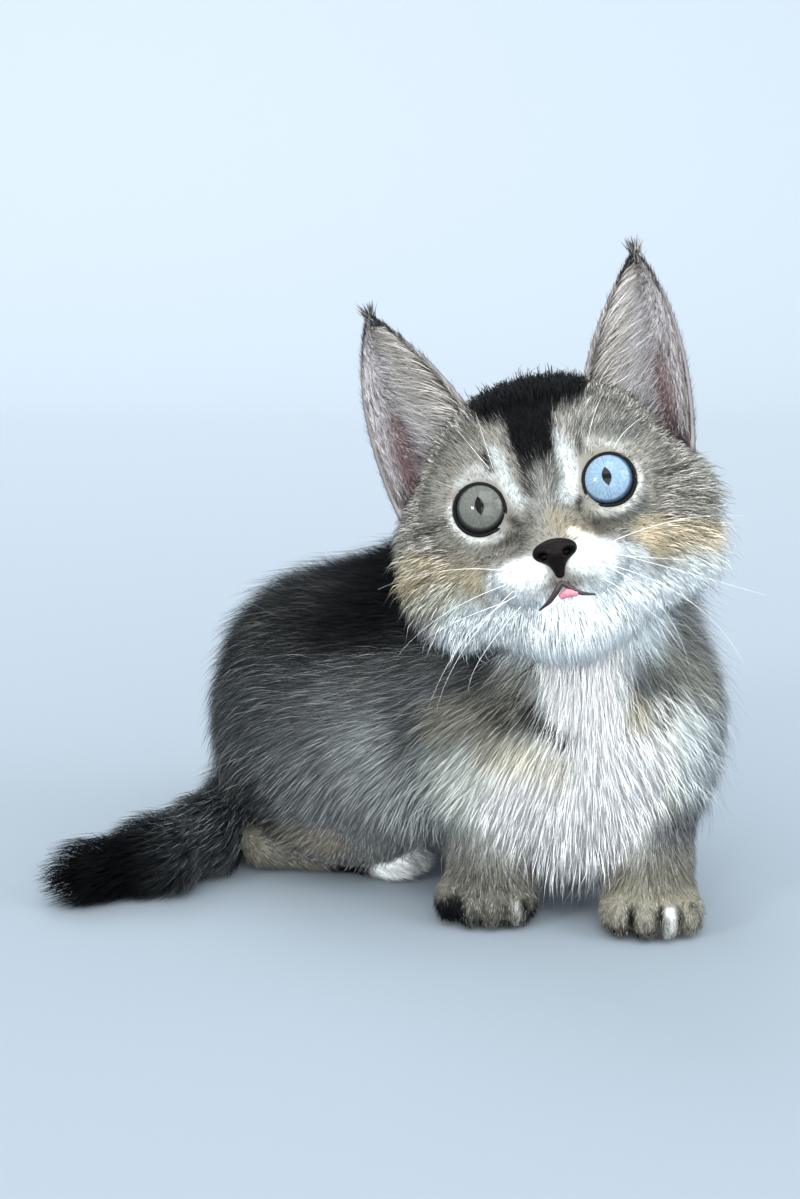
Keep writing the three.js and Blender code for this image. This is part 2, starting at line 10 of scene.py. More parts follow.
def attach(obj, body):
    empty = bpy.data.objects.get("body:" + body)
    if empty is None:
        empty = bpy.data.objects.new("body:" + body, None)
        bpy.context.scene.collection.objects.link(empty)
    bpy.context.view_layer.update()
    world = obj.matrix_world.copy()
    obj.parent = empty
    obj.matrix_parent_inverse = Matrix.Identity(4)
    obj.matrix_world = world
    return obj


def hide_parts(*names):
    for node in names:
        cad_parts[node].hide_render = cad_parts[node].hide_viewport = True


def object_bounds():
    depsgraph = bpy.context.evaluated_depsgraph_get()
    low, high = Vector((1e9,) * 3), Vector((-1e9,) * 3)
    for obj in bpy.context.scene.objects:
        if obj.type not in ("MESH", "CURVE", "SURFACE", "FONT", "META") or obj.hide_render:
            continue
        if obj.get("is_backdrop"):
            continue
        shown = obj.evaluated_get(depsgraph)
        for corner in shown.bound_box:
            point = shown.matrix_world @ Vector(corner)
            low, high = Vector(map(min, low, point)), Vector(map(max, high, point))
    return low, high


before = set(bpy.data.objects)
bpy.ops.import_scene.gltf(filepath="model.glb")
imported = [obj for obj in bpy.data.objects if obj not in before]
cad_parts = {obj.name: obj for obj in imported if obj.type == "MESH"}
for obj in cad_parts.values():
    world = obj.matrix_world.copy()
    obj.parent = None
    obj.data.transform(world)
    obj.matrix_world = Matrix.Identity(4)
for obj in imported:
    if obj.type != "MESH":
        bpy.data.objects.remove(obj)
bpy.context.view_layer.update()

rng = np.random.default_rng(11)

# The skin: one closed surface under all of the coat, which holds the kitten's form. It is shaped
# as a smooth field of distances and meshed on a fine grid; the ears and the lids' rims are shells
# sunk into it. Below, p is points in mm at the drafting place, and q the same in the head's frame.
MM = 0.001
SHIFT = np.array([0.6, -11.8, 0.0])  # from the drafting place, in mm, to the frame's origin
HEAD_AT = np.array([38.2, -10.0, 110.5])
HEAD_TURN = np.array(
    Matrix.Rotation(math.radians(-7), 3, "Z")
    @ Matrix.Rotation(math.radians(-16), 3, "X")
    @ Matrix.Rotation(math.radians(-14.6), 3, "Y")
)
EYE_RADIUS = 8.2
EYE_ASIDE, EYE_DEEP = 15.5, -19.5  # the middle of each ball, across and forward in the head
EYE_TURN = 9  # degrees that each eye is turned outward
SIDES = (-1, 1)  # the kitten's right and left


def to_scene(points):
    """Points in mm at the drafting place, in metres in the frame."""
    return (np.asarray(points) + SHIFT) * MM


def head_place(points):
    """Points in the head's own frame: origin in the middle of the skull, face towards -Y."""
    return (points - HEAD_AT) @ HEAD_TURN


def from_head(points):
    """The way back from head_place, to the drafting place."""
    return np.asarray(points) @ HEAD_TURN.T + HEAD_AT


def unit(vectors):
    return vectors / np.maximum(np.linalg.norm(vectors, axis=-1, keepdims=True), 1e-9)


def cos_sin(degrees):
    return math.cos(math.radians(degrees)), math.sin(math.radians(degrees))


def egg(centre, radii, turn=0):
    """The field of an egg-like form, turned by degrees about the upright."""
    c, s = cos_sin(turn)
    radii = np.array(radii, float)

    def field(p):
        d = p - np.array(centre)
        q = np.stack([c * d[:, 0] + s * d[:, 1], c * d[:, 1] - s * d[:, 0], d[:, 2]], -1) / radii
        near = np.linalg.norm(q, axis=1)
        return near * (near - 1) / np.maximum(np.linalg.norm(q / radii, axis=1), 1e-9)

    return field


def rod(a, b, start, end):
    """The field of a round rod from a to b, whose radius runs from start to end."""
    a, run = np.array(a, float), np.array(b, float) - np.array(a, float)

    def field(p):
        t = np.clip((p - a) @ run / (run @ run), 0, 1)
        return np.linalg.norm(p - a - t[:, None] * run, axis=1) - (start + (end - start) * t)

    return field


def soft_min(a, b, k):
    """The lesser of two distances, with a rounded hollow about k mm wide between them."""
    h = np.maximum(k - np.abs(a - b), 0) / k
    return np.minimum(a, b) - h * h * k / 4


def blend(k, *fields):
    """Several forms run together by soft_min."""

    def field(p):
        total = fields[0](p)
        for other in fields[1:]:
            total = soft_min(total, other(p), k)
        return total

    return field


def both(make):
    """The same form on both sides."""
    return [make(side) for side in SIDES]


def fade(x, start, end):
    """0 up to start, 1 from end on, smooth between."""
    t = np.clip((x - start) / (end - start), 0, 1)
    return t * t * (3 - 2 * t)


skull = blend(
    6,
    egg([0, 4, 5], [33.5, 33, 27]),
    egg([0, -10, 9], [23, 17, 17]),
    *both(lambda side: egg([side * 29, 3, -3], [12, 15, 14])),
    *both(lambda side: egg([side * 22.5, -10.5, 1], [9, 10, 11])),
    *both(lambda side: egg([side * 20, -5, -13], [19, 20, 17])),
    *both(lambda side: egg([side * 26, -1, -17], [13.5, 14, 13])),
    egg([0, -6, -22], [22, 20, 15]),
    rod([0, -16, 2], [0, -31, -13], 11, 5.5),
    egg([0, -24, -29], [9.5, 9, 7]),
    *both(lambda side: egg([side * 7.6, -29.5, -19], [10, 9, 7.6])),
)


def lid(side):
    """A soft swelling round the eye, turned a little outward, from whose edge the ball shows."""
    c, s = cos_sin(EYE_TURN * side)

    def field(p):
        d = p - np.array([side * EYE_ASIDE, EYE_DEEP, 0])
        x, y = c * d[:, 0] + s * d[:, 1], c * d[:, 1] - s * d[:, 0]
        return np.hypot(np.hypot(x, d[:, 2] * 1.04) - 7.9, y + 4.0) - 1.75

    return field


lids = blend(0.5, *both(lid))
sockets = blend(1, *both(lambda side: egg([side * EYE_ASIDE, -29.7, 0], [11, 6.2, 10])))

REAR = np.array([-12.0, 36.0, 42.0])  # the middle of the hindquarters
ALONG = np.array([0.951, -0.309, 0.0])  # the way the hindquarters point
RIGHTWARD = np.array([-0.309, -0.951, 0.0])


def from_rear(forward, right, height):
    """A place by the hindquarters' own forward and right, at a height above the ground."""
    return [*(REAR + ALONG * forward + RIGHTWARD * right)[:2], height]


trunk = blend(
    14,
    egg(REAR, [41.5, 39, 42.5]),
    egg([14, 27, 53], [36, 34, 43], -18),
    egg([47, 7, 54], [36.5, 31.5, 38]),
    egg([49, -10, 46], [23, 17.5, 33]),
    egg([44, -1, 30], [24, 20, 24]),
    rod([44, 9, 76], [39, 1, 98], 31, 26),
    egg([72, 2, 46], [16, 20, 27]),
    egg([22, -2, 44], [18, 19, 26]),
    egg(from_rear(5, 22, 30), [29, 15, 28], -18),
    egg(from_rear(5, -22, 30), [29, 15, 28], -18),
)


def paw(at, turn, size, toe, pitch, high):
    """A pad and four toes set out pitch mm apart, turned by degrees about the upright."""
    c, s = cos_sin(turn)

    def place(right, forward, height):
        return [at[0] + right * c + forward * s, at[1] + right * s - forward * c, height]

    toes = [
        egg(place(n * pitch, size[1] * (0.72 - 0.09 * n * n), high), toe, turn - 9 * n)
        for n in (-1.5, -0.5, 0.5, 1.5)
    ]
    return blend(2.2, egg(place(0, 0, 0.62 * size[2]), size, turn), *toes)


def fore_leg(top, wrist, at, turn):
    foot = paw(at, turn, [13.6, 13, 9], [4.4, 7.4, 6], 6.4, 5.2)
    return blend(5, rod(top, wrist, 14.5, 12), foot)


def hind_foot(heel, ball, turn):
    foot = paw(ball, turn, [9.5, 9.5, 7.2], [3.8, 6.4, 5.6], 4.6, 4.8)
    return blend(4, rod(heel, ball, 8, 8), foot)


TAIL = [[-22, 54, 24], [-42, 44, 15], [-52, 24, 10.4], [-64, 8, 9.6], [-82.5, -2, 8.4]]
TAIL_THICK = [10, 10, 10.2, 9.8, 8.4]
fore_legs = blend(
    1,
    fore_leg([22, -3, 38], [24, -10, 14], [23.4, -11], -12),
    fore_leg([66, -5, 38], [65, -15, 14], [65, -19], 2),
)
hind_feet = blend(
    1,
    hind_foot([-37, 25, 7.2], [-4, 20.5, 7], 77),
    hind_foot(from_rear(-20, -24, 7.2), from_rear(16, -22, 7), 68),
)
tail = blend(6, *map(rod, TAIL, TAIL[1:], TAIL_THICK, TAIL_THICK[1:]))


def head_depth(q):
    """How far the skin lies inside the outside of the coat, in mm, on the head."""
    back = fade(q[:, 1], -22, 6)
    cheek = fade(np.abs(q[:, 0]), 14, 32) * fade(-q[:, 2], -4, 14)
    left = np.where(q[:, 0] > 0, 3.6, 2.0)
    return 1.1 + np.maximum(2.2 * back, left * cheek)


def parts(p):
    """Distance to the skin of each part: head, trunk, forelegs, hind feet, tail."""
    q = head_place(p)
    head = -soft_min(-skull(q) - head_depth(q), sockets(q), 4)
    head = soft_min(head, lids(q), 2.5)
    # how deep the skin lies under the outside of the coat
    trunk_depth = 4.9 + 1.0 * fade(p[:, 0], 66, 82)
    leg_depth = 1.1 + 1.7 * fade(p[:, 2], 10, 24)
    hind_depth, tail_depth = 1.5, 4.0
    legs = [fore_legs(p) + leg_depth, hind_feet(p) + hind_depth]
    return np.stack([head, trunk(p) + trunk_depth, *legs, tail(p) + tail_depth], 1)


def skin_field(p):
    """The parts run together into one skin, flat just above the ground."""
    distance = parts(p)
    total = distance[:, 0]
    for i in range(1, distance.shape[1]):
        total = soft_min(total, distance[:, i], 4)
    return -soft_min(-total, p[:, 2] - 0.9, 1.5)


def slope(field, p, step=0.25):
    """The way in which a field grows at each point, not of unit length."""
    out = np.empty_like(p)
    for axis in range(3):
        offset = np.zeros(3)
        offset[axis] = step
        out[:, axis] = field(p + offset) - field(p - offset)
    return out


def mesh_of(field, low, high, cell, coarse=4):
    """Points and quads of a field's surface: one point in each cell that it crosses, drawn onto
    it. A grid coarser by that factor first finds where the surface is."""
    count = [coarse * math.ceil((h - l) / cell / coarse) for l, h in zip(low, high)]
    low = np.array(low, float)

    def grid(shape, size):
        at = np.stack(np.meshgrid(*(np.arange(n) * size for n in shape), indexing="ij"), -1)
        return at.reshape(-1, 3) + low

    rough_shape = [n // coarse for n in count]
    middle = (coarse - 1) / 2 * cell
    rough = field(grid(rough_shape, coarse * cell) + middle).reshape(rough_shape)
    values = rough
    for axis in range(3):
        values = np.repeat(values, coarse, axis)
    near = np.flatnonzero(np.abs(values) < 2.2 * coarse * cell)
    index = np.stack(np.unravel_index(near, count), -1)
    values = values.ravel().copy()
    values[near] = field(index * cell + low)
    values = values.reshape(count)

    sums = np.zeros((values.size, 3))
    hits = np.zeros(values.size)
    quads = []  # one for each grid edge that the surface crosses
    strides = np.array([count[1] * count[2], count[2], 1])
    for axis in range(3):
        u, v = (axis + 1) % 3, (axis + 2) % 3
        a = np.moveaxis(values, axis, 0)[:-1]
        b = np.moveaxis(values, axis, 0)[1:]
        found = np.argwhere((a < 0) != (b < 0))
        if not len(found):
            continue
        value_a, value_b = a[tuple(found.T)], b[tuple(found.T)]
        rest = [i for i in range(3) if i != axis]
        cell_at = np.empty_like(found)
        cell_at[:, axis], cell_at[:, rest[0]], cell_at[:, rest[1]] = found.T
        keep = (cell_at[:, rest] > 0).all(1)
        cell_at, value_a, value_b = cell_at[keep], value_a[keep], value_b[keep]
        point = cell_at.astype(float)
        point[:, axis] += value_a / (value_a - value_b)
        here = cell_at @ strides
        ring = [here, here - strides[u], here - strides[u] - strides[v], here - strides[v]]
        for flat in ring:
            np.add.at(sums, flat, point)
            np.add.at(hits, flat, 1)
        ring = np.stack(ring, 1)
        ring[value_a >= 0] = ring[value_a >= 0][:, ::-1]
        quads.append(ring)
    used = np.flatnonzero(hits)
    vertex = np.full(values.size, -1)
    vertex[used] = np.arange(len(used))
    points = sums[used] / hits[used, None] * cell + low
    for _ in range(2):
        steep = slope(field, points)
        rate = np.maximum(np.linalg.norm(steep, axis=1), 1e-6)
        move = steep * (field(points) / rate)[:, None] / rate[:, None]
        points = points - np.clip(move, -0.4 * cell, 0.4 * cell)
    return points, vertex[np.concatenate(quads)]


def linear(hexes):
    """A colour written as sRGB hex, as linear light."""
    c = np.array([int(hexes[i : i + 2], 16) / 255 for i in (1, 3, 5)])
    return np.where(c <= 0.04045, c / 12.92, ((c + 0.055) / 1.055) ** 2.4)


def make_mesh(name, points, faces, finish, colours=None):
    """A mesh object from points in mm at the drafting place and faces of one size."""
    faces = np.asarray(faces, np.int32)
    mesh = bpy.data.meshes.new(name)
    mesh.vertices.add(len(points))
    mesh.vertices.foreach_set("co", to_scene(points).astype(np.float32).ravel())
    mesh.loops.add(faces.size)
    mesh.loops.foreach_set("vertex_index", faces.ravel())
    mesh.polygons.add(len(faces))
    mesh.polygons.foreach_set("loop_start", np.arange(len(faces), dtype=np.int32) * faces.shape[1])
    mesh.polygons.foreach_set("use_smooth", np.full(len(faces), True))
    mesh.update(calc_edges=True)
    if colours is not None:
        paint = mesh.color_attributes.new("coat colour", "FLOAT_COLOR", "POINT")
        paint.data.foreach_set("color", np.c_[colours, np.ones(len(points))].astype(np.float32).ravel())
    mesh.materials.append(finish)
    piece = bpy.data.objects.new(name.replace(" ", "_"), mesh)
    bpy.context.scene.collection.objects.link(piece)
    return piece


def node(tree, kind, settings, *sources, **links):
    """Adds a node: settings by socket or property, sources for its first sockets, links by name."""
    made = tree.nodes.new(kind)
    for name, value in settings.items():
        if isinstance(name, int) or name in made.inputs:
            made.inputs[name].default_value = value
        else:
            setattr(made, name, value)
    for socket, source in zip(made.inputs, sources):
        tree.links.new(source, socket)
    for name, source in links.items():
        tree.links.new(source, made.inputs[name.replace("_", " ")])
    return made


def material(name, settings):
    """A material, its tree and its shader, whose own sockets get the settings."""
    made = bpy.data.materials.new(name)
    made.use_nodes = True
    shader = made.node_tree.nodes["Principled BSDF"]
    for socket, value in settings.items():
        shader.inputs[socket].default_value = value
    return made, made.node_tree, shader


def stroke(p, points, width, soft):
    """1 within width of a line through points, falling to 0 over soft."""
    points = np.array(points, float)
    if len(points) == 1:
        points = np.repeat(points, 2, 0)
    best = np.full(len(p), 1e9)
    for a, b in zip(points, points[1:]):
        run = b - a
        t = np.clip((p - a) @ run / max(run @ run, 1e-9), 0, 1)
        best = np.minimum(best, np.linalg.norm(p - a - t[:, None] * run, axis=1))
    return 1 - fade(best, width - soft, width + soft)


def arc(side, start, end, radius):
    """Points round an eye, degrees from the outer corner, down first."""
    turns = np.radians(np.linspace(start, end, 7))
    return [(side * (EYE_ASIDE + radius * math.cos(t)), -radius * math.sin(t)) for t in turns]


# Each stroke of the markings: colour, strength, half width, softness, line. On the face a line's
# places are across and up, in mm.
FACE = [
    # brow shade, crown, and the wedge down the forehead with its side streaks
    ("#4d4c48", 0.5, 3.0, 2.5, [(-24, 16), (-15, 22)]),
    ("#5b5a54", 0.5, 3.0, 2.5, [(22, 18), (15, 23)]),
    ("#0a0c0e", 1.0, 6.2, 1.5, [(-8, 26), (10, 26)]),
    ("#0c0e10", 1.0, 6.6, 1.6, [(0.5, 19), (0.5, 14)]),
    ("#0c0e10", 1.0, 3.8, 1.5, [(0, 12), (-0.5, 8)]),
    ("#8d8e8a", 0.8, 4.5, 2.0, [(0.5, 3), (0.5, -4)]),
    ("#2a2a29", 0.7, 0.7, 0.6, [(-1.5, 8), (-1.7, 0)]),
    ("#2a2a29", 0.65, 0.7, 0.6, [(2.0, 8), (2.2, 0)]),
    ("#232322", 0.8, 1.0, 0.7, [(-3.4, 9), (-3.6, 1)]),
    ("#2c2c2a", 0.7, 0.9, 0.7, [(4.3, 9), (4.4, 2)]),
    # pale brow marks, dark flecks between them, and shade over and under the eyes
    ("#b4baba", 0.9, 1.2, 0.9, [(-9.6, 14), (-9.0, 10)]),
    ("#bcc3c2", 0.92, 1.9, 1.1, [(-8.6, 10), (-8.0, 4), (-5.8, -1.2)]),
    ("#b4baba", 0.9, 1.2, 0.8, [(6.6, 14), (7.2, 10)]),
    ("#bec5c5", 0.95, 2.2, 1.1, [(7.2, 9), (7.3, 4), (5.6, -1.5)]),
    ("#b4b8b6", 0.7, 1.9, 1.2, [(-20, 7.2), (-15.5, 9.8), (-11.5, 7.8)]),
    ("#b5b8b2", 0.6, 1.6, 1.2, [(12.5, 10.4), (16, 10.2), (21, 7.4)]),
    ("#1c1d1e", 0.9, 1.1, 0.7, [(-12.4, 13.5), (-11.4, 9.4)]),
    ("#1c1d1e", 0.85, 1.1, 0.7, [(11.2, 12), (11.2, 9)]),
    ("#5c5f5a", 0.8, 2.6, 1.6, [(12, 14.6), (18, 13.4), (24, 11)]),
    ("#5a5d57", 0.85, 2.2, 1.2, [(11, -11.2), (17, -10.8), (23, -8.6)]),
    ("#86867f", 0.5, 3.0, 2.0, [(-9, -4), (-7, -12)]),
    ("#6f6e66", 0.55, 1.8, 1.2, [(-21, -12.2), (-10, -10.5)]),
    ("#77746a", 0.5, 1.8, 1.2, [(12, -12), (22, -12)]),
    ("#8c7f63", 0.65, 2.8, 1.8, [(2, -6.5), (6, -11)]),
    ("#43403a", 0.6, 0.9, 0.7, [(-11, -13.2), (-8, -13.6)]),
    ("#43403a", 0.6, 0.9, 0.7, [(10.5, -10.8), (13, -11.4)]),
    # pale rings round the eyes, then the lines from their corners
    ("#c3c7c4", 0.8, 0.8, 0.6, arc(-1, -20, 115, EYE_RADIUS)),
    ("#c3c7c4", 0.8, 0.8, 0.6, arc(1, -20, 115, EYE_RADIUS)),
    ("#4c4a44", 0.8, 1.2, 0.9, [(-26, -1.2), (-33, -1.8)]),
    ("#4c4a44", 0.8, 1.2, 0.9, [(26, 0.6), (34, -0.4)]),
    ("#5d594f", 0.55, 1.5, 1.2, [(-28, -7), (-37, -12)]),
    ("#5d594f", 0.5, 1.5, 1.2, [(28, -6), (37, -9)]),
    ("#2b2928", 0.9, 1.1, 0.7, [(-9.2, -4), (-7.6, -6.2)]),
    ("#2b2928", 0.9, 1.1, 0.7, [(8.2, -3.4), (7.4, -5.6)]),
    # tan cheeks, and the white of the lip pads, jaw and chin
    ("#7b7970", 0.85, 3.6, 3.0, [(-38, -14), (-36, -24), (-31, -30)]),
    ("#c1b291", 0.9, 5.2, 2.8, [(-35, -12), (-24, -18)]),
    ("#cfbe9b", 0.9, 5.0, 2.5, [(24, -16), (34, -20)]),
    ("#c4c3b5", 0.9, 4.6, 3.0, [(-30, -19), (-25, -24)]),
    ("#dbe4e5", 1.0, 6.0, 3.0, [(-27, -27), (-14, -33)]),
    ("#d6dcdc", 0.95, 6.0, 3.0, [(32, -26), (17, -33)]),
    ("#c6cbcc", 1.0, 4.6, 1.6, [(-7, -19), (-15, -19.5), (-12, -27)]),
    ("#c2c8c9", 1.0, 5.0, 1.6, [(7, -18), (17, -21), (12, -28)]),
    ("#ccd5d9", 1.0, 6.5, 2.0, [(-13, -31), (13, -32)]),
    ("#e2d9c6", 0.8, 1.6, 1.0, [(5.4, -11), (8.4, -13)]),
]

# the same on the trunk, with places in mm
BODY = [
    # dark saddle, then the flank's and haunch's paler and darker drifts
    ("#101315", 0.97, 27, 10, [(-8, 29, 84), (12, 26, 98), (30, 22, 104)]),
    ("#2a2e31", 0.9, 16, 9, [(-29, 32, 76), (-44, 40, 52), (-42, 54, 34)]),
    ("#6a6e70", 0.75, 11, 8, [(4, -6, 58), (-16, 0, 52)]),
    ("#9aa1a2", 0.85, 8, 6, [(-10, -2, 42), (-9, -3, 34), (0, -4, 26)]),
    ("#a9b0ae", 0.85, 10, 6, [(12, -13, 38), (8, -9, 30)]),
    ("#a9b0ae", 0.85, 9, 6, [(6, -5, 22), (14, -10, 26)]),
    ("#8f897a", 0.85, 6, 4, [(-32, 9, 13), (-20, 7, 13)]),
    ("#2f3436", 0.7, 7, 5, [(-38, 14, 19), (-40, 13, 24)]),
    ("#474e53", 0.7, 10, 6, [(-47, 42, 22)]),
    # shoulders
    ("#4b4d4e", 0.9, 7, 4, [(12, -11, 68), (17, -14, 61)]),
    ("#9b9a8f", 0.9, 5, 3, [(27, -19, 67), (29, -20, 60)]),
    ("#888679", 0.9, 6, 4, [(10, -11, 52), (22, -17, 54)]),
    ("#7f827f", 0.9, 12, 6, [(74, 0, 84), (80, -6, 68)]),
    # throat, chest and bib, with cream edges, and the grey behind the left shoulder
    ("#dbe5e9", 1.0, 12.5, 5, [(34, -17, 82), (59, -17, 81)]),
    ("#cdd2cb", 0.95, 11, 6, [(19, -15, 36), (31, -20, 39)]),
    ("#f1f2e9", 1.0, 12, 5, [(38, -20, 40), (62, -20, 42), (67, -18, 49)]),
    ("#f0f3ee", 1.0, 13, 5, [(32, -20, 31), (52, -20, 28)]),
    ("#e9eeee", 1.0, 12, 5, [(42, -20, 20)]),
    ("#d5dbd9", 0.95, 7, 5, [(73, -15, 52), (75, -13, 38)]),
    ("#93948b", 0.9, 6, 4, [(70, -16, 68), (80, -9, 60)]),
    ("#f4f7f4", 1.0, 10.5, 4, [(45, -22, 80), (46, -22, 64), (48, -24, 52)]),
    ("#c9b48c", 0.6, 3.5, 2.5, [(60, -22, 56)]),
    ("#c2b08c", 0.45, 4.0, 3.0, [(40, -24, 43), (24, -18, 46)]),
    ("#b4bcbe", 0.85, 8, 6, [(80, -9, 46), (78, -8, 34)]),
    ("#858b8d", 0.7, 8, 7, [(86, 8, 76), (86, 8, 50)]),
]
# and on the legs
LEGS = [
    # forelegs and the shade over the paws
    ("#c5c3b6", 0.95, 13, 7, [(24, -16, 27)]),
    ("#e2dac6", 0.95, 14, 7, [(67, -15, 30)]),
    ("#5c5b53", 0.9, 9, 5, [(18, -20, 6), (32, -22, 4)]),
    ("#8b8878", 0.8, 8, 5, [(60, -28, 8), (74, -25, 8)]),
    # right forepaw: black outer toe and the dark gaps between toes
    ("#0e1113", 1.0, 4.6, 1.2, [(14.5, -22, 4), (11, -14, 3)]),
    ("#0c0e10", 1.0, 1.6, 0.8, [(27.0, -26, 8), (28.0, -27, 2)]),
    ("#0c0e10", 1.0, 1.6, 0.8, [(32.5, -24, 7), (34, -25, 2)]),
    ("#2a2a28", 0.9, 1.1, 0.8, [(21, -26, 8), (21.5, -28, 2)]),
    ("#0c0e10", 1.0, 1.8, 0.8, [(16, -25, 1), (36, -22, 1)]),
    ("#b4b5ae", 0.85, 1.1, 0.8, [(29.8, -25, 8), (30.6, -26, 3)]),
    ("#0c0e10", 1.0, 2.8, 1.0, [(37, -19, 4), (34, -25, 1.5)]),
    # left forepaw: the gaps, one white toe and the dark edge of the sole
    ("#0c0e10", 1.0, 1.3, 0.8, [(59, -31, 9), (59, -33, 2)]),
    ("#0c0e10", 1.0, 1.3, 0.8, [(66.5, -32, 9), (66.5, -34, 2)]),
    ("#121416", 0.95, 1.2, 0.7, [(71.5, -31, 8), (72, -33, 2)]),
    ("#121416", 0.9, 1.1, 0.7, [(75, -29, 9), (77, -28, 3)]),
    ("#d8dedd", 0.95, 1.4, 1.0, [(69, -32, 8), (69, -34, 2)]),
    ("#0c0e10", 1.0, 2.6, 1.2, [(52, -29, 1), (66, -34, 0.5)]),
    # right hind foot: black, then white toes
    ("#0e1113", 1.0, 5.6, 1.2, [(-10, 15, 4), (-14, 16, 3)]),
    ("#e6ecee", 1.0, 6.5, 1.4, [(-1, 12, 4), (7, 18, 4)]),
]


def painted(colours, place, strokes, within=1.0):
    """Colours with strokes laid over them in turn."""
    for hexes, strength, width, soft, line in strokes:
        amount = (stroke(place, line, width, soft) * strength * within)[:, None]
        colours = colours + (linear(hexes) - colours) * amount
    return colours


def tail_run(p):
    """How far along the tail a point lies, 0 to 1, and the way the tail runs there."""
    points = np.array(TAIL, float)
    best, share, run = np.full(len(p), 1e9), np.zeros(len(p)), np.zeros_like(p)
    for i, (a, b) in enumerate(zip(points, points[1:])):
        t = np.clip((p - a) @ (b - a) / ((b - a) @ (b - a)), 0, 1)
        away = np.linalg.norm(p - a - t[:, None] * (b - a), axis=1)
        closer = away < best
        best[closer], share[closer] = away[closer], (i + t[closer]) / (len(points) - 1)
        run[closer] = b - a
    return share, unit(run)


HEAD_PART, BODY_PART, LEG_PART, HIND_PART, TAIL_PART = range(5)


def markings(p, part):
    """The coat's colour at points on the skin, for the skin and for every hair rooted there: the
    trunk darker with height and to the rear, then the legs, the tail and the head."""
    heights = [0, 16, 34, 50, 58, 66, 82]
    shades = ("#8c8d89", "#85898a", "#787d7f", "#565a5c", "#3c4043", "#2b2f32", "#1d2124")
    shades = np.array([linear(c) for c in shades])
    colours = np.stack([np.interp(p[:, 2], heights, shades[:, i]) for i in range(3)], 1)
    rear = (fade(-p[:, 0], 20, 44) * 0.8)[:, None]
    colours += (linear("#3c4145") - colours) * rear
    share, _ = tail_run(p)
    colours = painted(colours, p, BODY)

    legs = (part == LEG_PART) | (part == HIND_PART)
    coat = np.tile(linear("#8a877a"), (len(p), 1))
    coat = painted(coat, p, LEGS)
    low = fade(-p[:, 2], -24, -15)[:, None]
    colours = np.where(legs[:, None], coat * low + colours * (1 - low), colours)

    tail_coat = np.tile(linear("#363c40"), (len(p), 1))
    tail_coat += (linear("#06080a") - tail_coat) * fade(share, 0.72, 0.9)[:, None]
    colours = np.where((part == TAIL_PART)[:, None], tail_coat, colours)

    q = head_place(p)
    face = np.tile(linear("#928f85"), (len(p), 1))
    face = painted(face, q[:, [0, 2]], FACE, fade(-q[:, 1], -10, -1))
    chin = (fade(-q[:, 2], 22, 27) * fade(-q[:, 1], -6, 8))[:, None]
    face += (linear("#dfe6e8") - face) * chin
    behind = (fade(q[:, 1], 2, 16) * fade(q[:, 2], -30, -8))[:, None]
    face += (linear("#2c3033") - face) * behind * 0.85
    colours = np.where((part == HEAD_PART)[:, None], face, colours)
    # deepens the blacks and lifts the whites
    light = colours.mean(1)
    tone = 0.5 + 0.45 * fade(light, 0.015, 0.07) + 0.2 * fade(light, 0.3, 0.75)
    return np.minimum(colours * tone[:, None], 0.95)


# matt skin with the coat's markings, painted a little darker as painted shade deep in the
# coat, so that no pale gap shows between hairs and the coat looks deep
skin_material, skin_tree, skin_shader = material(
    "kitten skin", {"Roughness": 0.9, "Specular IOR Level": 0.15}
)
paint = node(skin_tree, "ShaderNodeVertexColor", {"layer_name": "coat colour"})
skin_tree.links.new(paint.outputs["Color"], skin_shader.inputs["Base Color"])

skin_points, skin_quads = mesh_of(skin_field, [-100, -54, -4], [98, 84, 146], 1.35)
skin_part = np.argmin(parts(skin_points), 1)

# Ears: thin cupped shells of gristle and skin, pink in the pocket and dark at the tip. Each is a
# sheet drawn between an inner edge, an outer edge and the middle of the back, with its foot in
# the head. The kitten's left ear is drafted, and mirrored for the right.
EAR_TIP = [35, 3, 58]
EAR_INNER = [[12, -3, 20], [17.5, -1.5, 35], [24, 1.5, 47], EAR_TIP]
EAR_OUTER = [[38, -2, 4], [43, -1, 26], [42, 1.5, 45], EAR_TIP]
EAR_BACK = [[29, 17, 10], [32, 14, 29], [34, 7.5, 46], EAR_TIP]
EAR_COUNT, EAR_TOP = 28, 0.97  # points each way on a face, and how near the tip they go
EAR_FOOT_THICK, EAR_TIP_THICK = 2.2, 0.9
EAR_POCKET = [(0.7, 0.05), (0.62, 0.26)]  # the bare pink hollow, across and up the cup


def bezier(points, t):
    """Places along a smooth curve that points pull, at each share t."""
    points = [np.asarray(p, float) for p in points]
    t = np.asarray(t)[:, None]
    while len(points) > 1:
        points = [a + (b - a) * t for a, b in zip(points, points[1:])]
    return points[0]


def ear_place(u, v):
    """A place on the ear's middle sheet: u from the inner to the outer edge, v up to the tip."""
    inner, outer, back = (bezier(line, v) for line in (EAR_INNER, EAR_OUTER, EAR_BACK))
    return bezier([inner, 2 * back - (inner + outer) / 2, outer], u)


def ear_frame(u, v):
    """Place on the ear's middle sheet, across, up, and out of the cup."""
    e = 0.01
    across = unit(ear_place(u + e, v) - ear_place(u - e, v))
    up = unit(ear_place(u, v + e) - ear_place(u, v - e))
    return ear_place(u, v), across, up, unit(np.cross(across, up))


def ear_half(u, v):
    """Half the ear's thickness, least at the tip and the edges."""
    thick = EAR_FOOT_THICK + (EAR_TIP_THICK - EAR_FOOT_THICK) * v
    return thick * (1 - 0.5 * (2 * u - 1) ** 2) / 2


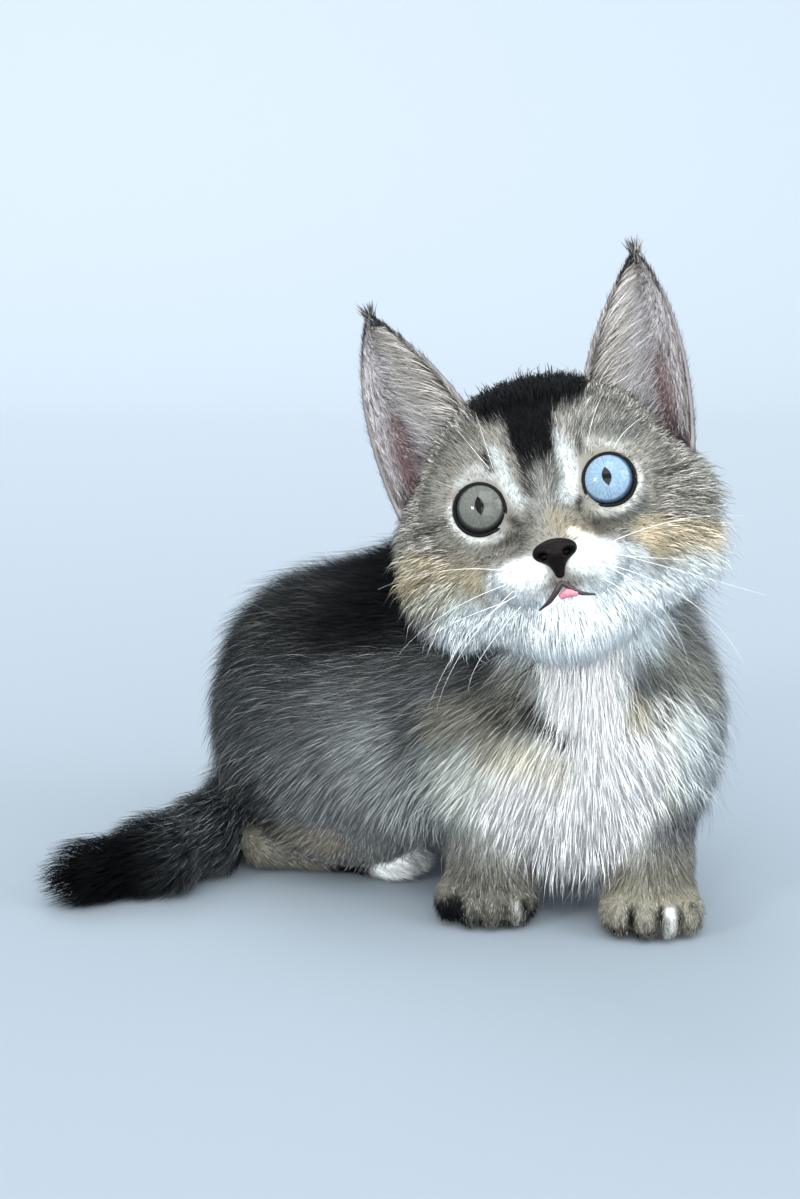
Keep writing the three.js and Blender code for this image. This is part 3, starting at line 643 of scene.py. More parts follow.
def ear_shell(side):
    """Points, faces and colours of one ear: the cup's face, the back's, and the rim between."""
    count = EAR_COUNT
    u, v = (a.ravel() for a in np.meshgrid(np.linspace(0, 1, count), np.linspace(0, EAR_TOP, count)))
    at, _, _, front = ear_frame(u, v)
    half = ear_half(u, v)[:, None]
    points = np.concatenate([at + front * half, at - front * half])
    points[:, 0] *= side
    n = count * count
    i = (np.arange(count - 1)[:, None] * count + np.arange(count - 1)).ravel()
    faces = [np.stack([i, i + 1, i + count + 1, i + count], 1)]
    faces.append(faces[0][:, ::-1] + n)
    k = np.arange(count - 1)
    rim = [k * count, k * count + count - 1, k, k + (count - 1) * count]
    step = [count, count, 1, 1]
    for low, s, turn in zip(rim, step, (True, False, False, True)):
        ring = np.stack([low, low + n, low + s + n, low + s], 1)
        faces.append(ring[:, ::-1] if turn else ring)
    faces = np.concatenate(faces)
    pocket = stroke(np.c_[u, v], EAR_POCKET, 0.16, 0.12)[:, None]
    cup = linear("#958c8e") + (linear("#80686b") - linear("#958c8e")) * pocket
    cup += (linear("#433f41") - cup) * fade(v, 0.72, 0.92)[:, None]
    back = np.tile(linear("#4b4e51"), (n, 1))
    return from_head(points), faces if side > 0 else faces[:, ::-1], np.concatenate([cup, back])


def lid_ring(side, around=64, section=10, radius=6.4, thick=0.5):
    """The lids' dark rim, which follows the ball and is drawn out to a corner beside the nose."""
    a = np.linspace(0, 2 * np.pi, around, endpoint=False)
    b = np.linspace(0, 2 * np.pi, section, endpoint=False)
    inner = np.radians(218 if side > 0 else -38)
    corner = np.exp(-((np.angle(np.exp(1j * (a - inner))) / 0.35) ** 2))
    ring = (radius + 1.3 * corner)[:, None] + thick * np.cos(b)
    deep = -math.sqrt(EYE_RADIUS**2 - radius**2) - 0.1 + thick * 1.2 * np.sin(b) + 0.7 * corner[:, None]
    points = np.stack([ring * np.cos(a)[:, None], deep, ring * np.sin(a)[:, None]], -1).reshape(-1, 3)
    i, j = np.meshgrid(np.arange(around), np.arange(section), indexing="ij")
    at = lambda i, j: (i % around * section + j % section).ravel()
    faces = np.stack([at(i, j), at(i, j + 1), at(i + 1, j + 1), at(i + 1, j)], 1)
    c, s = cos_sin(EYE_TURN * side)
    points = points @ np.array([[c, s, 0], [-s, c, 0], [0, 0, 1]]) + [side * EYE_ASIDE, EYE_DEEP, 0]
    return from_head(points), faces, np.tile(linear("#141213"), (len(points), 1))


shells = both(ear_shell) + both(lid_ring)
all_points = [skin_points] + [points for points, _, _ in shells]
starts = np.cumsum([0] + [len(points) for points in all_points])
all_faces = [skin_quads] + [faces + start for (_, faces, _), start in zip(shells, starts[1:])]
skin_colours = markings(skin_points, skin_part)
# painted shade: the skin is darkened under the hair, most under dark hair, for the shade deep in the coat
skin_colours *= 0.65 + 0.3 * fade(skin_colours.mean(1), 0.3, 0.7)[:, None]
skin = make_mesh(
    "skin",
    np.concatenate(all_points),
    np.concatenate(all_faces),
    skin_material,
    np.concatenate([skin_colours] + [colours for _, _, colours in shells]),
)
bpy.context.view_layer.objects.active = skin
skin.select_set(True)
bpy.ops.object.mode_set(mode="EDIT")
bpy.ops.mesh.select_all(action="SELECT")
bpy.ops.mesh.normals_make_consistent(inside=False)
bpy.ops.uv.smart_project(angle_limit=math.radians(60), island_margin=0.002)
bpy.ops.object.mode_set(mode="OBJECT")
skin.data.uv_layers[0].name = "OFBake"
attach(skin, "root")
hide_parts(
    "head", "neck", "chest", "hindquarters", "thigh_right", "thigh_left", "foreleg_right",
    "forepaw_right", "foreleg_left", "forepaw_left", "hindfoot_right", "hindfoot_left",
    "tail_base", "tail_middle", "tail_tip", "ear_right", "ear_left",
)

# The trunk's coat: soft fur in two layers, a dense under coat and longer guard hairs. Every tuft
# is a thin, closed, tapered blade with its root in the skin. It lies along the coat's run, leans
# with its neighbours into small locks and carries the skin's markings, darker at the root.

# fur with almost no gleam, in the colour that each hair carries
coat_material, coat_tree, coat_shader = material(
    "kitten fur", {"Roughness": 0.62, "Specular IOR Level": 0.05}
)
paint = node(coat_tree, "ShaderNodeVertexColor", {"layer_name": "coat colour"})
coat_tree.links.new(paint.outputs["Color"], coat_shader.inputs["Base Color"])

# the place of each point of the skin on its unwrap, taken from one of its corners
skin_uv = np.empty(len(skin.data.loops) * 2, np.float32)
skin.data.uv_layers["OFBake"].data.foreach_get("uv", skin_uv)
corners = np.empty(len(skin.data.loops), np.int32)
skin.data.loops.foreach_get("vertex_index", corners)
vertex_uv = np.zeros((len(skin.data.vertices), 2))
vertex_uv[corners] = skin_uv.reshape(-1, 2)


def roots_on(points, quads, weight):
    """Random roots, weight of them to each square mm: their places, and a skin point near each."""
    a, b, c, d = (points[quads[:, i]] for i in range(4))
    area = np.linalg.norm(np.cross(c - a, d - b), axis=1) / 2
    many = rng.poisson(area * weight)
    face = np.repeat(np.arange(len(quads)), many)
    s, t = rng.random((2, len(face), 1))
    at = (a[face] * (1 - s) + b[face] * s) * (1 - t) + (d[face] * (1 - s) + c[face] * s) * t
    return at, quads[face, 0]


def ranged(low, high, count):
    return rng.uniform(low, high, count)


def laid(at, normal, lie, spread=0.2):
    """Directions along the skin, each a little astray."""
    lie = lie + rng.normal(0, spread, (len(at), 3))
    return unit(lie - (lie * normal).sum(1, keepdims=True) * normal)


def grow(at, normal, lie, length, lift, width, paint, uv, root_shade=0.6, clump=4.5, pull=0.45,
         dark=0.5, pale=0.4, share=0.22):
    """Tufts from roots: lie is the way they run, lift the share that stands up. paint gives the
    coat's colour at a place. Hairs within clump mm lean together by pull, and where the coat is
    grey, a share of them is darker and a share paler."""
    n = len(at)
    length = (length * ranged(0.7, 1.2, n))[:, None]
    lift = (lift * ranged(0.7, 1.35, n))[:, None]
    middle = at + length * 0.5 * unit(lie * (1 - lift * 0.35) + normal * lift * 1.35)
    tip = middle + length * 0.5 * unit(lie + normal * lift * 0.5 + [0, 0, -0.12])
    cells = np.floor((at + rng.uniform(-0.8, 0.8, (n, 3))) / clump).astype(np.int64)
    _, group = np.unique(cells @ [1, 4093, 16769023], return_inverse=True)  # a number for each cell
    count = np.bincount(group)
    centre = np.stack([np.bincount(group, tip[:, i]) / count for i in range(3)], 1)[group]
    draw = (pull * ranged(0.3, 1.2, n))[:, None]
    tip = tip + (centre - tip) * draw
    middle = middle + (centre - tip) * draw * 0.2
    middle[:, 2], tip[:, 2] = np.maximum(middle[:, 2], 0.5), np.maximum(tip[:, 2], 0.5)
    which = rng.random(n)
    dim, bright = (which < share)[:, None], (which > 1 - share)[:, None]
    shade = np.exp(rng.normal(0, 0.2, n)[:, None])
    colours = []
    for reach, base in ((0.0, root_shade), (0.42, 1.08), (0.85, 1.0)):  # root, middle and tip
        colour = paint(at + lie * length * reach)
        light = colour.mean(1)[:, None]
        grey = fade(light, 0.0, 0.03) * (1 - fade(light, 0.45, 0.7))
        white = fade(light, 0.3, 0.7)
        colour = colour * (1 - (dark * grey + 0.22 * white) * dim)
        colour = colour + (linear("#d8d8d2") - colour) * pale * grey * bright
        base = base + (max(base, 0.94) - base) * white
        colours.append(np.clip(colour * base * shade ** (1 - 0.7 * white), 0, 0.96))
    return {"root": at - normal * 0.5, "middle": middle, "tip": tip, "normal": normal,
            "width": width * ranged(0.8, 1.25, n), "colours": tuple(colours), "uv": uv}


PATCH = 0.0015  # half a tuft's patch on the unwrap
SPREAD = np.array([[0, 1], [-0.87, -0.5], [0.87, -0.5]]) * PATCH


def blades(name, tufts, long=True):
    """One piece of coat from grown tufts: three-sided blades of two steps, or one for short fur."""
    root, middle, tip, normal, uv = (tufts[k] for k in ("root", "middle", "tip", "normal", "uv"))
    run = unit(tip - root)
    across = unit(np.cross(run, normal))
    flat = unit(np.cross(across, run))
    half = (tufts["width"] / 2)[:, None]
    section = [across, -across, flat * 0.7]
    rings = [np.stack([root + way * half for way in section], 1)]
    colours = [np.repeat(tufts["colours"][0][:, None], 3, 1)]
    places = [uv[:, None] + SPREAD]
    if long:
        rings.append(np.stack([middle + way * half * 0.8 for way in section], 1))
        colours.append(np.repeat(tufts["colours"][1][:, None], 3, 1))
        places.append(uv[:, None] + SPREAD * 0.55)
    rings.append(tip[:, None])
    colours.append(tufts["colours"][2][:, None])
    places.append(uv[:, None])
    points = np.concatenate(rings, 1)
    size = points.shape[1]
    faces = [[0, 1, 2]]
    if long:
        for i in range(3):
            j = (i + 1) % 3
            faces += [[j, i, i + 3], [j, i + 3, j + 3]]
    top = size - 4
    faces += [[top + (i + 1) % 3, top + i, size - 1] for i in range(3)]
    faces = np.array(faces)
    count = len(points)
    every_face = (np.arange(count)[:, None, None] * size + faces).reshape(-1, 3)
    painted_points = np.concatenate(colours, 1).reshape(-1, 3)
    piece = make_mesh(name, points.reshape(-1, 3), every_face, coat_material, painted_points)
    place = np.concatenate(places, 1)[:, faces].copy()
    place[:, 0] += [PATCH * 2.4, 0]  # the foot of the tuft beside its sides
    piece.data.uv_layers.new(name="OFBake").data.foreach_set("uv", place.astype(np.float32).ravel())
    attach(piece, "root")


def taken(tufts, keep):
    """The tufts that keep picks out."""
    return {k: (tuple(c[keep] for c in v) if k == "colours" else v[keep]) for k, v in tufts.items()}


def in_pieces(name, tufts, long=True):
    """As many pieces as keep each under 200,000 triangles, side by side across the kitten. A long
    tuft has 10 triangles and a short one 4."""
    most = 19500 if long else 48000
    count = len(tufts["root"])
    order = np.argsort(tufts["root"][:, 0], kind="stable")
    pieces = math.ceil(count / most)
    for i, keep in enumerate(np.array_split(order, pieces)):
        blades(name if pieces == 1 else f"{name} {i + 1}", taken(tufts, keep), long)


# the coat's run: where, which way the hair points, its length in mm, how far it stands up
RUN = [
    ((47, -24, 62), (0, -0.2, -1), 14, 0.5),
    ((36, -22, 50), (-0.45, -0.1, -1), 14, 0.42),
    ((60, -22, 50), (0.5, -0.1, -1), 14, 0.42),
    ((28, -19, 62), (-0.9, 0, -0.75), 13, 0.42),
    ((72, -16, 60), (0.6, 0, -0.9), 13, 0.45),
    ((18, -12, 66), (-1, 0.1, -0.45), 12, 0.42),
    ((8, 1, 75), (-1, 0.4, -0.15), 11, 0.4),
    ((-10, 20, 86), (-1, 0.4, -0.05), 14, 0.55),
    ((-29, 30, 75), (-1, 0.3, -0.5), 15, 0.6),
    ((-46, 30, 50), (-0.7, 0.2, -1), 12, 0.45),
    ((-49, 43, 25), (-0.9, 0, -1), 17, 0.55),
    ((5, -5, 22), (-0.1, -0.15, -1), 18, 0.5),
    ((44, -18, 78), (0, -0.2, -1), 14, 0.45),
    ((-21, 7, 62), (-1, 0.1, -0.02), 11, 0.38),
    ((-6, -1, 53), (-1, 0.1, -0.1), 11, 0.4),
    ((-10, -2, 40), (-0.8, 0.1, -0.5), 12, 0.4),
    ((12, -12, 37), (-0.75, 0, -0.9), 12, 0.42),
    ((-14, -1, 29), (-0.5, 0, -0.9), 11, 0.4),
    ((-30, 10, 16), (-0.7, 0.1, -0.5), 8, 0.35),
    ((-8, 6, 12), (-0.3, 0, -1), 8, 0.35),
    ((30, -18, 35), (-0.35, 0, -1), 13, 0.42),
    ((46, -22, 30), (0, 0, -1), 14, 0.42),
    ((64, -20, 35), (0.3, 0, -1), 13, 0.42),
    ((80, -8, 60), (0.35, 0.3, -1), 10, 0.4),
    ((84, 5, 45), (0.3, 0.5, -1), 10, 0.4),
    ((68, 8, 92), (0.9, 0.4, -0.3), 16, 0.6),
    ((60, 30, 50), (-0.3, 0.6, -0.7), 12, 0.42),
    ((20, 60, 50), (-0.7, 0.4, -0.5), 12, 0.42),
    ((-10, 70, 40), (-0.7, 0.5, -0.6), 12, 0.45),
    ((40, 35, 78), (-0.6, 0.8, -0.35), 11, 0.42),
]


def body_run(p):
    """Way, length and lift of the trunk's coat, from the nearest entries of RUN."""
    total, lie, length, lift = 0, 0, 0, 0
    for at, way, long, stand in RUN:
        weight = 1 / (((p - np.array(at)) ** 2).sum(1) + 40) ** 2
        total = total + weight
        lie = lie + weight[:, None] * unit(np.array(way, float))
        length = length + weight * long
        lift = lift + weight * stand
    return unit(lie), length / total, lift / total


def skin_normal(p):
    """The way out of the skin at points on it."""
    return unit(slope(skin_field, p, 0.3))


quad_middle = skin_points[skin_quads].mean(1)
face_part = np.argmin(parts(quad_middle), 1)
body_faces = (face_part == BODY_PART) & (quad_middle[:, 2] > 1.6)


def on_part(part):
    """The colours of one part's markings, for grow."""
    return lambda points: markings(points, np.full(len(points), part))


def body_coat(name, density, width, scale, long):
    """One layer over the trunk, hairs to the square mm and width in mm, split at the bib."""
    at, near = roots_on(skin_points, skin_quads, np.where(body_faces, density, 0))
    normal = skin_normal(at)
    lie, length, lift = body_run(at)
    lie = laid(at, normal, lie, 0.13)
    stray = rng.random(len(at)) < (0.16 if long else 0)  # stands out from the rest, less so behind
    length = length * scale * np.where(stray, 1.25 - 0.2 * fade(at[:, 1], 0, 35), 1)
    lift = lift * np.where(stray, 1.75 - 0.45 * fade(at[:, 1], 0, 35), 0.9)
    low = (1 - fade(at[:, 2], 20, 30)) * (1 - fade(at[:, 0], 8, 16)) * (1 - fade(at[:, 1], 16, 26))
    length *= 1 - 0.6 * low * fade(at[:, 0], -30, -22)  # shorter over the right hind foot
    tufts = grow(at, normal, lie, length, lift, width, on_part(BODY_PART), vertex_uv[near],
                 clump=2.6, pull=0.12, dark=0.4, pale=0.2, share=0.2)
    bib = (at[:, 1] < 0) & (at[:, 0] > 18)
    in_pieces(f"{name} coat", taken(tufts, ~bib), long)
    in_pieces(f"bib {name} coat", taken(tufts, bib), long)


body_coat("under", 4.25, 0.18, 0.74, False)
body_coat("guard", 1.02, 0.145, 0.92, True)

# The necklace: dark-tipped hairs of the same soft fur, whose ends lie in broken stripes at both
# sides of the bib. They are rooted a little way back along the coat's run. Colour, how many
# hairs, and the stripe's line.
NECKLACE = [
    ("#4a4a45", 60, [(36, -21, 71), (30, -20, 66), (25, -18, 61)]),
    ("#2b2a26", 210, [(28, -19, 61), (33, -22, 54), (43, -25, 49)]),
    ("#3a3935", 110, [(22, -17, 58), (27, -20, 52)]),
    ("#4a4a46", 130, [(69, -16, 68), (72, -17, 58), (66, -21, 52)]),
    ("#55554f", 90, [(62, -19, 70), (66, -18, 62)]),
]
ends = np.concatenate([bezier(line, np.sort(ranged(0, 1, many))) for _, many, line in NECKLACE])
hues = np.concatenate([np.tile(linear(hexes), (many, 1)) for hexes, many, _ in NECKLACE])
ends = ends + rng.normal(0, 0.8, ends.shape)
lie, _, _ = body_run(ends)
at = ends - lie * 5.0
for _ in range(3):  # down onto the skin
    at = at - unit(slope(skin_field, at)) * skin_field(at)[:, None]
normal = skin_normal(at)
near = np.array([np.argmin(((skin_points - place) ** 2).sum(1)) for place in at])
stripes = grow(at, normal, laid(at, normal, unit(ends - at), 0.15), 8.0, 0.6, 0.2, lambda points: hues,
               vertex_uv[near], root_shade=1.0, pull=0.1, dark=0, pale=0)
blades("necklace coat", stripes)

# The head's coat: soft fur, short and close on the face, longer on the cheeks and throat. It runs
# back from the nose and out from round the eyes. The balls, the nose leather and the lips stay
# bare.
in_head = head_place(quad_middle)
from_eye = np.min([np.linalg.norm(in_head[:, [0, 2]] - [side * EYE_ASIDE, 0], axis=1) for side in SIDES], 0)
eye_bare = (from_eye < 6.7) & (in_head[:, 1] < -15)
nose_bare = np.linalg.norm((in_head - [0, -37.5, -15.3]) / [5.1, 4, 3.1], axis=1) < 1
nose_bare |= np.linalg.norm((in_head - [0, -38, -19]) / [1.9, 4, 3], axis=1) < 1
lips_line = [(-7, -28), (-4, -25.4), (0, -23), (4, -25.4), (7, -28)]
mouth_bare = (stroke(in_head[:, [0, 2]], lips_line, 0.6, 0.3) > 0.4) & (in_head[:, 1] < -25)
furred = (face_part == HEAD_PART) & ~eye_bare & ~nose_bare & ~mouth_bare
density = 2.3 + 1.8 * fade(-in_head[:, 1], -6, 16) + 0.5 * fade(-in_head[:, 2], 20, 30)
at, near = roots_on(skin_points, skin_quads, np.where(furred, density, 0))
in_head = head_place(at)
across, forward, down = np.abs(in_head[:, 0]), -in_head[:, 1], -in_head[:, 2]
front = fade(forward, -2, 18)
cheek = fade(across, 20, 34) * fade(down, -6, 12)
muzzle = 1 - fade(np.linalg.norm(in_head - [0, -34, -20], axis=1), 10, 20)
crown = fade(-down, 16, 28)
throat = fade(down, 22, 32)
eye_middle = np.stack([np.sign(in_head[:, 0]) * EYE_ASIDE, np.full(len(at), EYE_DEEP), np.zeros(len(at))], 1)
round_eye = in_head - eye_middle
eye_near = (1 - fade(np.linalg.norm(round_eye[:, [0, 2]], axis=1), 8, 14)) * fade(forward, 10, 16)
way = unit(in_head - [0, -40, -13])
way = unit(way + unit(round_eye) * 0.9 * eye_near[:, None])
way[:, 2] -= 0.25 * fade(across, 16, 34) + 0.25 * fade(down, 8, 24)
way += (np.array([0, 0.25, -1.0]) - way) * (0.7 * throat)[:, None]
length = 8.5 - 4.6 * front + 4.0 * cheek - 1.6 * muzzle + 2.8 * crown
length *= 1 - 0.3 * eye_near
length += (13 - length) * throat
lift = 0.34 + 0.16 * cheek - 0.06 * muzzle + 0.14 * crown
wild_share = 0.14 * np.maximum(cheek * np.where(in_head[:, 0] > 0, 1, 0.35), 0.3 * crown)
wild = rng.random(len(at)) < wild_share  # stands out at the cheeks, most at the left
length, lift = np.where(wild, 1.25 * length, length), np.where(wild, 1.5 * lift, lift)
normal = skin_normal(at)
lie = laid(at, normal, way @ HEAD_TURN.T, 0.16)
head_tufts = grow(at, normal, lie, length, lift, 0.2 + 0.002 * length, on_part(HEAD_PART), vertex_uv[near],
                  clump=2.4, pull=0.25, dark=0.6, pale=0.5, share=0.28)
short = length < 5.2
in_pieces("face coat", taken(head_tufts, short), long=False)
in_pieces("cheek and neck coat", taken(head_tufts, ~short))

# The legs' coat: short, close fur, grey tan on the legs, with black and white toes. It runs down
# the legs and forward over the toes.
leg_faces = ((face_part == LEG_PART) | (face_part == HIND_PART)) & (quad_middle[:, 2] > 1.2)
at, near = roots_on(skin_points, skin_quads, np.where(leg_faces, 3.95, 0))
hind = np.argmin(parts(at), 1) == HIND_PART
toeward = fade(-at[:, 2], -15, -6)[:, None]
lie = np.array([0, -0.1, -1.0]) * (1 - toeward) + np.array([0, -0.9, -0.45]) * toeward
lie = np.where(hind[:, None], np.array([0.95, -0.25, -0.25]), lie)
high = fade(at[:, 2], 8, 26)
length = np.where(hind, 4.0, 2.8 + 5.0 * high)
normal = skin_normal(at)
lie = laid(at, normal, lie, 0.16)
leg_tufts = grow(at, normal, lie, length, 0.34, 0.2 + 0.01 * length, on_part(LEG_PART), vertex_uv[near],
                 clump=2.0, pull=0.25, dark=0.6, pale=0.5, share=0.3)
in_pieces("leg coat", leg_tufts, long=False)

# The tail's coat: long soft fur, grey at the root and black for the last quarter. It runs to the
# tip and stands out round it like a brush.
tail_faces = (face_part == TAIL_PART) & (quad_middle[:, 2] > 1.4)
at, near = roots_on(skin_points, skin_quads, np.where(tail_faces, 3.2, 0))
_, run = tail_run(at)
normal = skin_normal(at)
lie = laid(at, normal, run, 0.13)
tail_tufts = grow(at, normal, lie, 12.0, 0.5, 0.2, on_part(TAIL_PART), vertex_uv[near],
                  clump=3.0, pull=0.15, pale=0.2, share=0.15)
in_pieces("tail coat", tail_tufts)

# The ears' hair: close fur on the backs, long fine pale hair from the inner edge across the cup,
# short hair on the cup's floor, a fringe on the rims and a dark tuft at each tip. Each hair is
# rooted on a face of the ear's shell.
EAR_START = {-1: starts[1], 1: starts[2]}  # each shell's first point in the skin


def ear_uv(side, u, v, back):
    """The unwrap places of the shell's points nearest to places on an ear."""
    i = np.clip(np.rint(u * (EAR_COUNT - 1)), 0, EAR_COUNT - 1).astype(int)
    j = np.clip(np.rint(v / EAR_TOP * (EAR_COUNT - 1)), 0, EAR_COUNT - 1).astype(int)
    return vertex_uv[EAR_START[side] + back * EAR_COUNT**2 + j * EAR_COUNT + i]


def ear_hair(side, u, v, facing, way, length, lift, width, colours, **more):
    """Hair on one ear: facing 1 is in the cup, -1 behind; way is across and up the ear, or else
    a direction in the head."""
    at, across, up, front = ear_frame(u, v)
    at = at + front * facing * ear_half(u, v)[:, None]
    on_sheet = way.shape[1] == 2
    lie = across * way[:, :1] + up * way[:, 1:2] if on_sheet else way
    normal = front * facing if on_sheet else np.tile([0.0, -1.0, 0.0], (len(at), 1))
    mirror = np.array([side, 1, 1])
    normal, lie = ((vectors * mirror) @ HEAD_TURN.T for vectors in (normal, lie))
    return grow(from_head(at * mirror), normal, laid(at, normal, lie, 0.16), length, lift, width,
                lambda points: colours, ear_uv(side, u, v, int(facing < 0)), **more)


def tinted(colours, hexes, share):
    """Colours, or one colour as hex, moved by a share towards another."""
    if isinstance(colours, str):
        colours = np.tile(linear(colours), (len(share), 1))
    return colours + (linear(hexes) - colours) * share[:, None]


def together(*lots):
    """Several lots of tufts as one."""
    joined = {key: np.concatenate([tufts[key] for tufts in lots]) for key in lots[0] if key != "colours"}
    joined["colours"] = tuple(map(np.concatenate, zip(*(tufts["colours"] for tufts in lots))))
    return joined


for side, word in zip(SIDES, ("right", "left")):
    n = 4000  # hairs on the back
    u, v = ranged(0, 1, n), ranged(0.02, 0.95, n) ** 1.15
    colours = tinted("#505356", "#1d1c1e", fade(v, 0.72, 0.95))
    backs = ear_hair(side, u, v, -1, np.tile([0.0, 1.0], (n, 1)), 3.4, 0.3, 0.3, colours,
                     clump=2.2, pull=0.2, pale=0.12, dark=0.4)
    blades(f"{word} ear back coat", backs, long=False)

    n = 3000  # the long furnishings
    u, v = ranged(0.0, 0.5, n), ranged(0.03, 0.86, n)
    colours = tinted("#dddcdf", "#8a8684", (rng.random(n) < 0.4 + 0.3 * v) * 0.8)
    edge_tan = np.maximum(1 - fade(u, 0.04, 0.22), 0.8 * fade(v, 0.5, 0.75)) * ranged(0.3, 0.9, n)
    colours = tinted(colours, "#7b7466", edge_tan)
    goal = ear_place(ranged(0.45, 0.97, n), v + ranged(0.3, 0.85, n) * (1 - v))
    goal = goal - [0, 1, 0] * ranged(0, 3, n)[:, None]
    chord = goal - ear_place(u, v)
    length = np.minimum(np.linalg.norm(chord, axis=1) * ranged(0.4, 0.85, n), 15)
    inner = ear_hair(side, u, v, 1, chord, length, 0.14, 0.2, colours,
                     root_shade=0.8, clump=4.0, pull=0.3, dark=0.3, pale=0.3)

    n = 2900  # the floor of the cup and its outer part
    u, v = ranged(0.3, 0.99, n), ranged(0.03, 0.95, n)
    pocket = stroke(np.c_[u, v], EAR_POCKET, 0.16, 0.1)
    colours = tinted("#c0bdc1", "#6f6b6c", fade(v, 0.6, 0.9))
    colours = tinted(colours, "#9b8688", pocket)
    length = 7.5 * (1 - 0.5 * pocket) * (1 - 0.7 * v)
    floor = ear_hair(side, u, v, 1, np.tile([0.6, 0.8], (n, 1)), length, 0.34, 0.24, colours,
                     root_shade=0.75, clump=2.5, pull=0.3)

    n = 900  # the rims
    on_inner = rng.random(n) < 0.5
    u, v = np.where(on_inner, 0.012, 0.988), ranged(0.03, 0.95, n)
    way = np.stack([np.where(on_inner, -0.6, 0.6), np.full(n, 1.0)], 1)
    colours = tinted("#85827d", "#1f1d1f", np.maximum(fade(v, 0.5, 0.8), 0.25))
    rim = ear_hair(side, u, v, 1, way, 3.2 + 4 * (1 - v) ** 3, 0.2, 0.3, colours, clump=2.2, pull=0.25)

    n = 220  # the tip's tuft
    u, v = ranged(0.1, 0.9, n), ranged(0.86, 0.965, n)
    tip = ear_hair(side, u, v, 1, np.tile([0.0, 1.0], (n, 1)), 6.0, 0.15, 0.24,
                   np.tile(linear("#39383b"), (n, 1)), clump=2, pull=0.25)
    blades(f"{word} ear hair", together(inner, floor, rim, tip))

# The eyes: wet balls behind the lids, the kitten's right grey-green and its left light blue, each
# with a dark ring round the iris and a slit pupil. The pattern is drawn from each point's place
# round the line of sight, which the ball carries as an attribute in mm.
def eye_material(name, iris, inner, edge_hue, iris_radius, slit):
    """A clear wet coat over fine fibres that run out from the slit."""
    made, tree, shader = material(name, {
        "Roughness": 0.3, "Specular IOR Level": 0.0,
        "Coat Weight": 0.6, "Coat IOR": 1.34, "Coat Roughness": 0.02,
    })
    place = node(tree, "ShaderNodeAttribute", {"attribute_name": "eye place"}).outputs["Vector"]
    split = node(tree, "ShaderNodeSeparateXYZ", {}, place)
    length = node(tree, "ShaderNodeVectorMath", {"operation": "LENGTH"}, place).outputs["Value"]
    way = node(tree, "ShaderNodeVectorMath", {"operation": "NORMALIZE"}, place)
    outward = node(tree, "ShaderNodeCombineXYZ", {}, Z=length)
    fibre_at = node(tree, "ShaderNodeVectorMath", {"operation": "MULTIPLY_ADD", 1: (9.0, 9.0, 9.0)},
                    way.outputs[0])
    tree.links.new(outward.outputs[0], fibre_at.inputs[2])
    fibres = node(tree, "ShaderNodeTexNoise", {"Scale": 1.1, "Detail": 3.0}, Vector=fibre_at.outputs[0])
    shade = node(tree, "ShaderNodeMapRange",
                 {"From Min": 0.3, "From Max": 0.7, "To Min": 0.72, "To Max": 1.15}, fibres.outputs["Fac"])
    rings = node(tree, "ShaderNodeMapRange", {"From Min": 0.0, "From Max": EYE_RADIUS}, length)
    ramp = node(tree, "ShaderNodeValToRGB", {}, rings.outputs["Result"])
    ramp.color_ramp.interpolation = "EASE"
    stops = [(0.0, inner), (0.3, iris), ((iris_radius - 0.75) / EYE_RADIUS, iris),
             ((iris_radius - 0.15) / EYE_RADIUS, edge_hue), ((iris_radius + 0.35) / EYE_RADIUS, "#0b0c0e"),
             (1.0, "#0a0a0b")]
    while len(ramp.color_ramp.elements) < len(stops):
        ramp.color_ramp.elements.new(1.0)
    for element, (at, hexes) in zip(ramp.color_ramp.elements, stops):
        element.position, element.color = at, (*linear(hexes), 1)
    iris_colour = node(tree, "ShaderNodeVectorMath", {"operation": "SCALE"}, ramp.outputs["Color"],
                       Scale=shade.outputs["Result"])
    # the slit: narrow across, long up and down, pointed at both ends
    across, along = slit
    wide = node(tree, "ShaderNodeMath", {"operation": "ABSOLUTE"}, split.outputs["X"])
    high = node(tree, "ShaderNodeMath", {"operation": "ABSOLUTE"}, split.outputs["Y"])
    squared = node(tree, "ShaderNodeMath", {"operation": "MULTIPLY"}, high.outputs[0], high.outputs[0])
    room = node(tree, "ShaderNodeMapRange", {"From Max": along**2, "To Min": across, "To Max": 0.0},
                squared.outputs[0])
    gap = node(tree, "ShaderNodeMath", {"operation": "SUBTRACT"}, wide.outputs[0], room.outputs["Result"])
    edge = node(tree, "ShaderNodeMapRange", {"From Min": -0.1, "From Max": 0.12}, gap.outputs[0])
    mix = node(tree, "ShaderNodeMix", {"data_type": "RGBA", "A": (*linear("#050506"), 1)},
               Factor=edge.outputs["Result"], B=iris_colour.outputs[0])
    tree.links.new(mix.outputs["Result"], shader.inputs["Base Color"])
    return made


